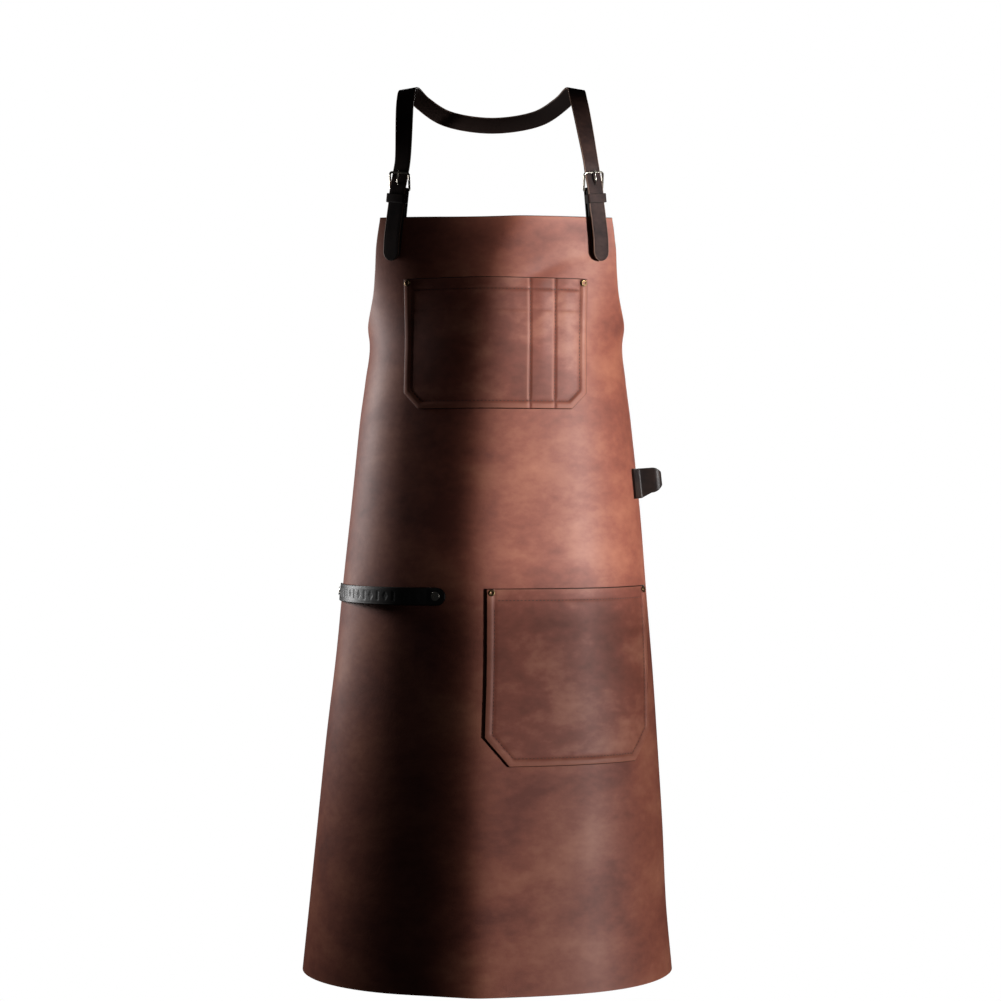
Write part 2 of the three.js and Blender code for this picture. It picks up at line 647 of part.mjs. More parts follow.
// A round wire's rings along a path, each set across the way the path runs.
function wireRings(path, radius, sides, isLoop) {
  return path.map((point, i) => {
    const before = isLoop ? path.at(i - 1) : path[Math.max(i - 1, 0)];
    const after = path[isLoop ? (i + 1) % path.length : Math.min(i + 1, path.length - 1)];
    const way = after.clone().sub(before).normalize();
    const across = Math.abs(way.x) > 0.99 ? new THREE.Vector3(0, 1, 0) : new THREE.Vector3(1, 0, 0);
    across.addScaledVector(way, -across.dot(way)).normalize();
    const other = way.clone().cross(across);
    return steps(0, 2 * Math.PI, sides).slice(0, -1).map((angle) =>
      point.clone()
        .addScaledVector(across, radius * Math.cos(angle))
        .addScaledVector(other, radius * Math.sin(angle)),
    );
  });
}

// A rounded rectangle's path about the origin, as pairs (across, along).
function roundedLoop(halfWidth, halfHeight, radius, perCorner) {
  const quarter = Math.PI / 2;
  return [[1, 1], [-1, 1], [-1, -1], [1, -1]].flatMap(([x, y], k) =>
    arcPath(
      new THREE.Vector2(x * (halfWidth - radius), y * (halfHeight - radius)),
      radius,
      k * quarter,
      (k + 1) * quarter,
      perCorner,
    ),
  );
}

// The buckle's wire frame, which leans outwards from its heel bar to its top bar.
function buckleFrame() {
  const rise = TOP_BAR_RISE - HEEL_RISE;
  const out = TOP_BAR_OUT - HEEL_OUT;
  const path = roundedLoop(BUCKLE_HALF, BUCKLE_HEIGHT / 2, BUCKLE_CORNER, 3).map(({ x, y }) => {
    const share = y / BUCKLE_HEIGHT + 0.5;
    return new THREE.Vector3(x, -(HEEL_OUT + share * out), HEEL_RISE + share * rise);
  });
  const section = steps(0, 2 * Math.PI, 8).slice(0, -1);
  const normal = new THREE.Vector3(0, -rise, -out).normalize();
  const rings = path.map((point, i) => {
    const way = path[(i + 1) % path.length].clone().sub(path.at(i - 1)).normalize();
    const across = way.clone().cross(normal);
    return section.map((angle) =>
      point.clone()
        .addScaledVector(normal, WIRE * Math.cos(angle))
        .addScaledVector(across, WIRE * Math.sin(angle)),
    );
  });
  return sweep(rings, true);
}

// The prong: an eye round the heel bar, and a pin that bends out through the strap and lies on the top bar.
const EYE = WIRE + GAP + PRONG;
const PRONG_REST = TOP_BAR_OUT + WIRE + GAP + PRONG;
function buckleProng() {
  const eyePath = steps(0, 2 * Math.PI, 10).slice(0, -1).map(
    (angle) => new THREE.Vector3(0, -(HEEL_OUT + EYE * Math.cos(angle)), HEEL_RISE + EYE * Math.sin(angle)),
  );
  const bend = HEEL_TOP_OUT + STRAP / 2 + PRONG;
  const pinPath = new THREE.CatmullRomCurve3(
    [
      [HEEL_OUT + EYE * 0.6, HEEL_RISE + EYE * 0.8],
      [(HEEL_OUT + bend) / 2, HEEL_RISE + 0.3 * BUCKLE_HEIGHT],
      [bend + GAP, HEEL_RISE + 0.52 * BUCKLE_HEIGHT],
      [PRONG_REST, TOP_BAR_RISE - 3 * PRONG],
      [PRONG_REST, TOP_BAR_RISE + PRONG_PAST],
    ].map(([out, rise]) => new THREE.Vector3(0, -out, rise)),
    false,
    "centripetal",
  );
  const pin = sweep(wireRings(pinPath.getSpacedPoints(9), PRONG, 6, false));
  return join(sweep(wireRings(eyePath, PRONG, 6, true), true), pin);
}

// The slot that the prong makes in the neck strap.
function prongSlot() {
  const width = 2 * (PRONG + GAP);
  const slot = new THREE.BoxGeometry(width, 3 * STRAP, PRONG_SLOT_LENGTH);
  return slot.translate(0, -HEEL_TOP_OUT, HEEL_RISE + PRONG_SLOT_RISE);
}

// The keeper: a leather loop round the buckle strap's front layer and the neck strap's tip.
function keeper() {
  const halfWide = STRAP_WIDTH / 2 + KEEPER_SLACK + KEEPER_WALL / 2;
  const halfDeep = (KEEPER_DEPTH + KEEPER_WALL) / 2;
  const middle = CHAPE_FRONT - STRAP / 2 - GAP + KEEPER_DEPTH / 2;
  const rings = roundedLoop(halfWide, halfDeep, KEEPER_CORNER, 3).map(({ x, y }, i, path) => {
    const before = path.at(i - 1);
    const after = path[(i + 1) % path.length];
    const way = after.clone().sub(before).normalize();
    const point = new THREE.Vector3(x, -(middle + y), KEEPER_RISE);
    const thick = new THREE.Vector3(way.y, way.x, 0);
    const tall = new THREE.Vector3(0, 0, 1);
    return strapRing(point, tall, thick, KEEPER_HEIGHT / 2, KEEPER_WALL);
  });
  return sweep(rings, true);
}

// The side loop: a strap that lies on the panel, stands out, bends back on itself and lies on the panel
// again.
function sideLoop(frame, holeTool) {
  const foot = LAY_GAP + STRAP / 2;
  const quarter = Math.PI / 2;
  const bend = new THREE.Vector2(LOOP_HALF + LOOP_BEND, foot + LOOP_BEND);
  const half = (side) => [
    ...steps(LOOP_HALF + LOOP_BEND + LOOP_FOOT, LOOP_HALF + LOOP_BEND, 3).slice(0, -1).map((x) =>
      new THREE.Vector2(side * x, foot - footDrop(side, x, frame)),
    ),
    ...arcPath(bend, LOOP_BEND, 3 * quarter, 2 * quarter, 4).map(({ x, y }) => new THREE.Vector2(side * x, y)),
  ];
  const end = arcPath(new THREE.Vector2(0, LOOP_OUT - LOOP_HALF), LOOP_HALF, 2 * quarter, 0, 8);
  const shape = strip([...half(-1), ...end, ...half(1).reverse()], STRAP);
  const body = new THREE.ExtrudeGeometry(shape, { depth: LOOP_HEIGHT, bevelEnabled: false });
  // The shape's x runs along the arc and its y outwards, and its depth runs down.
  const turn = new THREE.Matrix4().makeBasis(
    new THREE.Vector3(1, 0, 0),
    new THREE.Vector3(0, -1, 0),
    new THREE.Vector3(0, 0, -1),
  );
  const wide = 2 * (LOOP_HALF + LOOP_BEND + LOOP_FOOT + CUT_MARGIN);
  const outline = new THREE.Shape([
    new THREE.Vector2(-CUT_MARGIN, 0),
    ...arcPath(new THREE.Vector2(LOOP_OUT + STRAP / 2 - LOOP_ROUND, -LOOP_ROUND), LOOP_ROUND, quarter, 0, 5),
    new THREE.Vector2(LOOP_OUT + STRAP / 2, -LOOP_END_HEIGHT),
    new THREE.Vector2(2 * foot, -LOOP_HEIGHT),
    new THREE.Vector2(-CUT_MARGIN, -LOOP_HEIGHT),
  ]);
  const keep = new THREE.ExtrudeGeometry(outline, { depth: wide, bevelEnabled: false });
  const keepTurn = new THREE.Matrix4().makeBasis(
    new THREE.Vector3(0, -1, 0),
    new THREE.Vector3(0, 0, 1),
    new THREE.Vector3(-1, 0, 0),
  );
  keep.applyMatrix4(keepTurn).translate(wide / 2, 0, 0);
  return cut(common(body.applyMatrix4(turn), keep), holeTool);
}

// How far the bent panel falls away from the loop's flat frame at a distance along the arc.
function footDrop(side, distance, frame) {
  const point = skin(LOOP_ARC + side * distance, LOOP_DROP, LEATHER);
  return point.applyMatrix4(frame.clone().invert()).y;
}

// The waist clasp: a flat sleeve at the back that both bands run into.
function waistClasp(frame) {
  const room = STRAP + 2 * CLASP_SLACK;
  const tall = WAIST_WIDTH + 2 * CLASP_SLACK;
  const middle = -(LAY_GAP + STRAP / 2);
  const outer = new THREE.BoxGeometry(2 * CLASP_HALF, room + 2 * CLASP_WALL, tall + 2 * CLASP_WALL);
  const inner = new THREE.BoxGeometry(2 * CLASP_HALF + CUT_MARGIN, room, tall);
  return cut(outer, inner).translate(0, middle, 0).applyMatrix4(frame);
}

function colourOf(name) {
  return new THREE.MeshStandardMaterial({ name, ...COLOURS[name] });
}

const apron = new THREE.Group();
const worn = new THREE.Group();
worn.position.copy(nape).addScaledVector(napeFace, -STRAP / 2).negate();
apron.add(worn);

function place(parent, name, geometry, colour) {
  const mesh = new THREE.Mesh(geometry, colourOf(colour));
  mesh.name = name;
  parent.add(mesh);
  return mesh;
}

function placeGroup(matrix) {
  const group = new THREE.Group();
  matrix.decompose(group.position, group.quaternion, group.scale);
  worn.add(group);
  return group;
}

// Adds a rivet through the panel and what lies on it, and returns its hole tool in the worn frame.
function addRivet(name, arc, drop, stack, colour = "rivet", cap = RIVET_CAP) {
  const frame = frameOn(arc, drop, 0);
  place(placeGroup(frame), name, rivetBody(stack, cap), colour);
  return rivetHole(stack).applyMatrix4(frame);
}

const doubledStack = LEATHER + LAY_GAP + 2 * POCKET_LEATHER;
const bandStack = LEATHER + LAY_GAP + STRAP;
const pocketArcs = (left) => ({ left: left + RIVET_INSET, right: left + POCKET_WIDTH - RIVET_INSET });
const chestArcs = pocketArcs(CHEST_LEFT);
const hipArcs = pocketArcs(HIP_LEFT);
const chestHoles = [
  addRivet("chest_rivet_left", chestArcs.left, CHEST_TOP + RIVET_INSET, doubledStack),
  addRivet("chest_rivet_right", chestArcs.right, CHEST_TOP + RIVET_INSET, doubledStack),
];
const hipHoles = [
  addRivet("hip_rivet_left", hipArcs.left, HIP_TOP + RIVET_INSET, doubledStack),
  addRivet("hip_rivet_right", hipArcs.right, HIP_TOP + RIVET_INSET, doubledStack),
];
const studArcs = { front: TOWEL_END - TOWEL_STUD_IN, side: TOWEL_END - TOWEL_LENGTH + TOWEL_STUD_IN };
const towelHoles = [
  addRivet("towel_stud_front", studArcs.front, TOWEL_DROP, bandStack, "buckle", STUD_CAP),
  addRivet("towel_stud_side", studArcs.side, TOWEL_DROP, bandStack, "buckle", STUD_CAP),
];
const waistHoles = [-1, 1].map((side) =>
  addRivet(
    side < 0 ? "waist_rivet_left" : "waist_rivet_right",
    side * (EAR_HALF_ARC - WAIST_RIVET_IN),
    WAIST_DROP,
    bandStack,
  ),
);

const loopFrame = frameOn(LOOP_ARC, LOOP_DROP, LEATHER);
const loopRivetArc = LOOP_ARC + LOOP_HALF + LOOP_BEND + LOOP_FOOT / 2;
const loopHole = addRivet("side_loop_rivet", loopRivetArc, LOOP_DROP + LOOP_HEIGHT / 2, bandStack);
const loopHoleLocal = loopHole.clone().applyMatrix4(loopFrame.clone().invert());
place(placeGroup(loopFrame), "side_loop", sideLoop(loopFrame, loopHoleLocal), "strap");

place(worn, "chest_pocket", pocket({
  left: CHEST_LEFT,
  top: CHEST_TOP,
  height: CHEST_HEIGHT,
  cornerWidth: CHEST_CORNER,
  cornerHeight: CHEST_CORNER,
  seams: [PEN_SEAM_IN, PEN_SEAM_OUT],
  gapes: [CHEST_GAPE, PEN_GAPE, PEN_GAPE],
  holes: chestHoles,
}), "pocket");
place(worn, "hip_pocket", pocket({
  left: HIP_LEFT,
  top: HIP_TOP,
  height: HIP_HEIGHT,
  cornerWidth: HIP_CORNER_WIDTH,
  cornerHeight: HIP_CORNER_HEIGHT,
  seams: [],
  gapes: [HIP_GAPE],
  holes: hipHoles,
}), "pocket");

// The towel strap lies on the panel at its studs and bows out between them.
const towelLift = (share) => {
  const held = (2 * TOWEL_STUD_IN) / TOWEL_LENGTH;
  const free = THREE.MathUtils.clamp((share - held) / (1 - 2 * held), 0, 1);
  const swing = Math.PI * free ** (Math.log(0.5) / Math.log(TOWEL_BOW_AT));
  return LAY_GAP + TOWEL_BOW * Math.sin(swing) ** TOWEL_BOW_POWER;
};
place(worn, "towel_strap", cut(
  band(TOWEL_END, TOWEL_END - TOWEL_LENGTH, TOWEL_DROP, TOWEL_WIDTH, STRAP, true, true, towelLift),
  ...towelHoles,
), "strap");

const backArc = 2 * quarterGirth(WAIST_DROP);
[-1, 1].forEach((side, k) => {
  const from = side * (EAR_HALF_ARC - WAIST_LAP);
  const to = side * (backArc - GAP);
  const strap = band(from, to, WAIST_DROP, WAIST_WIDTH, STRAP, true, false, () => LAY_GAP);
  place(worn, side < 0 ? "waist_strap_left" : "waist_strap_right", cut(strap, waistHoles[k]), "strap");
});
const backAt = (drop) => skin(2 * quarterGirth(drop), drop, LEATHER);
const backFrame = frameFrom(
  backAt(WAIST_DROP),
  new THREE.Vector3(-1, 0, 0),
  backAt(WAIST_DROP - 1).sub(backAt(WAIST_DROP + 1)).normalize(),
);
place(worn, "waist_clasp", waistClasp(backFrame), "buckle");

const strapFrames = { [-1]: strapFrame(-1), 1: strapFrame(1) };
const strapRivetRise = -CHAPE_BACK_DOWN / 2;
const strapStack = CHAPE_FRONT + STRAP / 2 - (CHAPE_BACK - STRAP / 2);
const innerFace = -(CHAPE_BACK - STRAP / 2);
const strapHoleLocal = rivetHole(strapStack).translate(0, innerFace, strapRivetRise);
for (const side of [-1, 1]) {
  const word = side < 0 ? "left" : "right";
  const group = placeGroup(strapFrames[side]);
  place(group, `buckle_strap_${word}`, buckleStrap(strapHoleLocal), "strap");
  place(group, `buckle_frame_${word}`, buckleFrame(), "buckle");
  place(group, `buckle_prong_${word}`, buckleProng(), "buckle");
  place(group, `strap_keeper_${word}`, keeper(), "strap");
  const rivet = place(group, `strap_rivet_${word}`, rivetBody(strapStack), "rivet");
  rivet.position.set(0, innerFace, strapRivetRise);
}
const strapHoles = [-1, 1].map((side) => strapHoleLocal.clone().applyMatrix4(strapFrames[side]));
const prongSlots = [-1, 1].map((side) => prongSlot().applyMatrix4(strapFrames[side]));
place(worn, "neck_strap", neckStrap(strapFrames, prongSlots), "strap");
place(worn, "apron_panel", panel([
  ...chestHoles,
  ...hipHoles,
  ...towelHoles,
  ...waistHoles,
  ...strapHoles,
  loopHole,
]), "hide");

export default apron;
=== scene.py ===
"""A leather kitchen apron as worn, dressed for a product photograph.

The hide panel is bent round the body. On it lie two patch pockets, a towel strap and a side loop, and a
buckled neck strap and a waist band hold it. Lengths are millimetres in the apron's own frame, where the origin
is the middle of the bib's upper edge, -Y is the front and the panel drops along -Z, until a mesh is written in
metres.
"""
import logging
import math
from dataclasses import dataclass, field
from enum import Enum
from functools import lru_cache
from typing import Any, Callable, NamedTuple, Sequence

import bmesh
import bpy
from mathutils import Matrix, Quaternion, Vector, noise


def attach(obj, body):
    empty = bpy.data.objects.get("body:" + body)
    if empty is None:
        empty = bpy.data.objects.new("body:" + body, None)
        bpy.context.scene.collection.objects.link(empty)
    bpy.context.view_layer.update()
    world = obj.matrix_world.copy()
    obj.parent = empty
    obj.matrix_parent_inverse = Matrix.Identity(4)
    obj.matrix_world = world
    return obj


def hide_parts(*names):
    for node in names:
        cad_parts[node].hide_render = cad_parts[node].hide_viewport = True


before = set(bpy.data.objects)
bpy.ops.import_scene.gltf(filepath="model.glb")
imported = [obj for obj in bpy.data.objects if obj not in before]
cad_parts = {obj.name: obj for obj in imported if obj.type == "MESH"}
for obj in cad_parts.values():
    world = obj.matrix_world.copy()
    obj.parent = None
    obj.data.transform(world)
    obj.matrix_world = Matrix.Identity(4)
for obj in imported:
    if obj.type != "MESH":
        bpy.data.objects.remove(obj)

LOG = logging.getLogger("apron")
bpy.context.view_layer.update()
MM = 0.001
ORIGIN = Vector((0, -177.0665, -129.4180))  # the bib's edge, from the neck strap's inner face at the nape
SEED = Vector((31.7, 4.2, 18.9))
BODY = "root"


class Slot(Enum):
    """The record's material slots."""

    HIDE = "hide"
    POCKET = "pocket"
    STRAP = "strap"
    RIVET = "rivet"
    BUCKLE = "buckle"


class Side(Enum):
    """The viewer's left and right."""

    LEFT = -1
    RIGHT = 1


class Layer(Enum):
    """The faces of a piece of leather, in the order of its materials."""

    GRAIN = 0
    FLESH = 1
    EDGE = 2


class Section(NamedTuple):
    """One level of the worn shape, in shares of the panel's named sizes."""

    at: float
    half: float
    aside: float
    ahead: float


class Armhole(NamedTuple):
    """One point of the armhole's cut edge."""

    down: float
    out: float


class Fold(NamedTuple):
    """One soft fold that a strap pulls into the bib."""

    arc: float
    drop: float
    depth: float
    width: float


class Shoulder(NamedTuple):
    """One point of the neck strap behind the shoulder, and the way its outer face looks."""

    side: float
    back: float
    up: float
    face: tuple[float, float, float]


SECTIONS = (
    Section(0, 0.9, 0.9, 0),
    Section(0.059, 0.813, 0.9, 0.07),
    Section(0.112, 0.738, 0.9, 0.14),
    Section(0.159, 0.684, 0.9, 0.18),
    Section(0.211, 0.706, 0.8, 0.2),
    Section(0.265, 0.737, 0.75, 0.21),
    Section(0.373, 0.782, 0.75, 0.25),
    Section(0.478, 0.822, 0.5, 0.34),
    Section(0.589, 0.861, 0.4, 0.47),
    Section(0.697, 0.901, -0.1, 0.61),
    Section(0.806, 0.937, -0.5, 0.75),
    Section(0.914, 0.967, -1, 0.89),
    Section(1, 1, -1.1, 1),
)
ARMHOLES = (
    Armhole(0, 0),
    Armhole(0.105, 0.044),
    Armhole(0.21, 0.072),
    Armhole(0.3, 0.116),
    Armhole(0.37, 0.2),
    Armhole(0.44, 0.352),
    Armhole(0.56, 0.568),
    Armhole(0.7, 0.753),
    Armhole(0.84, 0.895),
    Armhole(1, 1),
)
FOLDS = (Fold(54, 58, 2.0, 9), Fold(118, 33, 1.2, 8))
SHOULDERS = (
    Shoulder(0.99, 0.25, 0.855, (0.1, -0.7, 0.7)),
    Shoulder(0.955, 0.579, 1, (0.2, 0, 0.98)),
    Shoulder(0.82, 0.78, 0.943, (0.35, 0.45, 0.82)),
    Shoulder(0.54, 0.93, 0.861, (0.3, 0.75, 0.6)),
)


def linear(code: str, alpha: float = 1.0) -> tuple[float, float, float, float]:
    """Turns an sRGB hex colour into linear light.

    Args:
        code: Six hex digits.
        alpha: The fourth number of the colour.

    Returns:
        Red, green, blue and alpha.
    """
    def channel(pair: str) -> float:
        """Turns one channel of two hex digits into linear light."""
        value = int(pair, 16) / 255
        return value / 12.92 if value <= 0.04045 else ((value + 0.055) / 1.055) ** 2.4

    return (channel(code[0:2]), channel(code[2:4]), channel(code[4:6]), alpha)


def smooth_value(rows: Sequence[Any], key: str, column: str, place: float) -> float:
    """Reads a table between its rows, on a smooth curve through them.

    Args:
        rows: The table.
        key: The column that says where a row stands.
        column: The column that is read.
        place: Where it is read.

    Returns:
        The column's value there.
    """
    last = len(rows) - 1
    keys = [getattr(row, key) for row in rows]
    values = [getattr(row, column) for row in rows]
    above = next((i for i, value in enumerate(keys) if value > place), last)
    k = max(above - 1, 0)

    def slope(i: int) -> float:
        """Gives the curve's slope at a row, from the rows beside it."""
        a, b = max(i - 1, 0), min(i + 1, last)
        return (values[b] - values[a]) / (keys[b] - keys[a])

    span = keys[k + 1] - keys[k]
    t = min(max((place - keys[k]) / span, 0.0), 1.0)
    rise = (2 * t - 3) * t * t
    bend = span * t * (1 - t) * ((1 - t) * slope(k) - t * slope(k + 1))
    return (1 + rise) * values[k] - rise * values[k + 1] + bend


def ease(value: float) -> float:
    """Gives the smooth step of a value that is held between 0 and 1."""
    t = min(max(value, 0.0), 1.0)
    return t * t * (3 - 2 * t)


def bell(distance: float, width: float) -> float:
    """Gives a bell curve's value, which is 1 in its middle."""
    return math.exp(-((distance / width) ** 2))


def steps(start: float, end: float, count: int) -> list[float]:
    """Gives count + 1 even values from start to end."""
    return [start + (end - start) * i / count for i in range(count + 1)]


def circle(sides: int) -> list[tuple[float, float]]:
    """Gives the cosine and the sine of even angles round a circle."""
    angles = [2 * math.pi * j / sides for j in range(sides)]
    return [(math.cos(a), math.sin(a)) for a in angles]


def neighbours(path: Sequence[Any], i: int, closed: bool = False) -> tuple[Any, Any]:
    """Gives the points before and after a point of a path, which is its own neighbour at an open end."""
    if closed:
        return path[i - 1], path[(i + 1) % len(path)]
    return path[max(i - 1, 0)], path[min(i + 1, len(path) - 1)]


def frame_from(origin: Vector, across: Vector, up: Vector) -> Matrix:
    """Makes a local frame.

    Args:
        origin: Its place.
        across: Its x axis.
        up: Its z axis.

    Returns:
        The matrix from the local frame to the apron's.
    """
    back = up.cross(across)
    return Matrix((
        (across.x, back.x, up.x, origin.x),
        (across.y, back.y, up.y, origin.y),
        (across.z, back.z, up.z, origin.z),
        (0, 0, 0, 1),
    ))


@dataclass(frozen=True)
class WornShape:
    """The surface that the hide takes round the body, and what is measured along it."""

    panel_drop: float = 843
    leather: float = 2
    hem_half_width: float = 210
    hem_reach: float = 59
    lean: float = 5
    turn_power: float = 1.6
    bib_half_arc: float = 134
    ear_half_arc: float = 292
    hem_half_arc: float = 320
    ear_drop: float = 285
    hem_corner: float = 14
    corner_lift: float = 2.5
    arc_steps: int = 400
    sway: float = 0.7  # soft unevenness of the hide
    sway_size: float = 95
    sway_stretch: float = 1.7
    calm: float = 60  # it fades out this far from the bib's edge and the ears
    fold_reach: float = 26
    fold_slope: float = 0.45
    ridge: float = 9.5  # the stiff hide hangs in a soft ridge, left of its centre line
    ridge_top: float = 0.2  # it is sharper where the straps pull the bib's edge
    ridge_top_drop: float = 55
    ridge_right: float = 100
    ridge_left: float = 65
    ridge_round: float = 14
    crest_aside: float = -10  # its crest leaves the bib's edge near the middle and bends to the left
    crest_sway: float = 17
    crest_top: float = 36
    crest_top_drop: float = 50

    def turn_at(self, share: float) -> float:
        """Gives the angle that a level has turned by, after a share of its quarter girth."""
        quarter = math.pi / 2
        if share < 1:
            return quarter * share ** self.turn_power
        return 2 * quarter - quarter * max(2 - share, 0) ** self.turn_power

    @lru_cache(maxsize=None)
    def half_level(self) -> tuple[tuple[float, float], ...]:
        """Gives half a level with a quarter girth of 1, as running sums across and back."""
        points = [(0.0, 0.0)]
        for i in range(2 * self.arc_steps):
            turn = self.turn_at((i + 0.5) / self.arc_steps)
            across, back = points[-1]
            points.append((across + math.cos(turn) / self.arc_steps, back + math.sin(turn) / self.arc_steps))
        return tuple(points)

    @lru_cache(maxsize=None)
    def level(self, drop: float) -> tuple[float, float, float]:
        """Measures a level of the shape.

        Args:
            drop: Its distance below the bib's edge.

        Returns:
            Its quarter girth, and where its centre line is across and along Y.
        """
        at = drop / self.panel_drop
        half = self.hem_half_width * smooth_value(SECTIONS, "at", "half", at)
        girth = half / self.half_level()[self.arc_steps][0]
        centre = self.lean * smooth_value(SECTIONS, "at", "aside", at)
        front = -self.hem_reach * smooth_value(SECTIONS, "at", "ahead", at)
        return girth, centre, front

    def quarter_girth(self, drop: float) -> float:
        """Gives the arc from the centre line to the side at a drop."""
        return self.level(drop)[0]

    def ridge_out(self, arc: float, drop: float) -> float:
        """Gives how far the ridge down the middle of the hide stands out.

        Args:
            arc: Along the leather from the centre line.
            drop: Below the bib's edge.

        Returns:
            The ridge's height there.
        """
        start = self.crest_top * math.exp(-drop / self.crest_top_drop)
        crest = start + self.crest_aside - self.crest_sway * math.sin(math.pi * drop / self.panel_drop)
        away = math.hypot(arc - crest, self.ridge_round) - self.ridge_round
        reach = self.ridge_right if arc > crest else self.ridge_left
        height = self.ridge * (1 + self.ridge_top * bell(drop, self.ridge_top_drop))
        return height * max(1 - away / reach, 0) ** 2

    def swell(self, arc: float, drop: float) -> float:
        """Gives the hide's soft unevenness and the folds that the straps pull into the bib.

        Args:
            arc: Along the leather from the centre line, + to the right.
            drop: Below the bib's edge.

        Returns:
            How far the hide stands out there.
        """
        place = Vector((arc / self.sway_size, drop / (self.sway_stretch * self.sway_size), 0)) + SEED
        fade = ease(drop / self.calm) * ease((self.ear_half_arc - abs(arc)) / self.calm)
        out = self.sway * noise.noise(place) * fade + self.ridge_out(arc, drop)
        for fold in FOLDS:
            along, down = arc - fold.arc, drop - fold.drop
            near = bell(math.hypot(along, down), self.fold_reach)
            out -= fold.depth * near * bell(down + self.fold_slope * along, fold.width)
        return out

    def skin(self, arc: float, drop: float, offset: float) -> Vector:
        """Finds a point of the worn shape.

        Args:
            arc: Along the leather from the centre line, + to the right.
            drop: Below the bib's edge.
            offset: Outwards from the panel's inner face.

        Returns:
            The point in the apron's frame.
        """
        girth, centre, front = self.level(round(drop, 3))
        share = min(abs(arc) / girth, 2)
        place = share * self.arc_steps
        i = min(int(place), 2 * self.arc_steps - 1)
        part = place - i
        low, high = self.half_level()[i], self.half_level()[i + 1]
        turn = self.turn_at(share)
        out = offset - self.leather + self.swell(arc, drop)
        side = 1 if arc >= 0 else -1
        across = low[0] + part * (high[0] - low[0])
        back = low[1] + part * (high[1] - low[1])
        return Vector((
            centre + side * (girth * across + out * math.sin(turn)),
            front + girth * back - out * math.cos(turn),
            -drop,
        ))

    def cut_edge(self, drop: float) -> float:
        """Gives the arc from the centre line to the hide's cut edge at a drop."""
        if drop < self.ear_drop:
            out = smooth_value(ARMHOLES, "down", "out", drop / self.ear_drop)
            return self.bib_half_arc + (self.ear_half_arc - self.bib_half_arc) * out
        share = (drop - self.ear_drop) / (self.panel_drop - self.ear_drop)
        side = self.ear_half_arc + share * (self.hem_half_arc - self.ear_half_arc)
        into = max(drop - (self.panel_drop - self.hem_corner), 0)
        return side - self.hem_corner + math.sqrt(max(self.hem_corner ** 2 - into ** 2, 0))

    def lift(self, arc: float) -> float:
        """Gives how far the bib's edge rises above its middle at an arc."""
        return self.corner_lift * (arc / self.bib_half_arc) ** 2

    def frame_on(self, arc: float, drop: float, offset: float) -> Matrix:
        """Makes a frame on the shape: x along the arc, y into the body and z up the leather.

        Args:
            arc: Along the leather from the centre line.
            drop: Below the bib's edge.
            offset: Outwards from the panel's inner face.

        Returns:
            The matrix from the frame to the apron's.
        """
        here = self.skin(arc, drop, offset)
        across = (self.skin(arc + 1, drop, offset) - self.skin(arc - 1, drop, offset)).normalized()
        up = self.skin(arc, drop - 1, offset) - self.skin(arc, drop + 1, offset)
        up = (up - across * up.dot(across)).normalized()
        return frame_from(here, across, up)


WORN = WornShape()


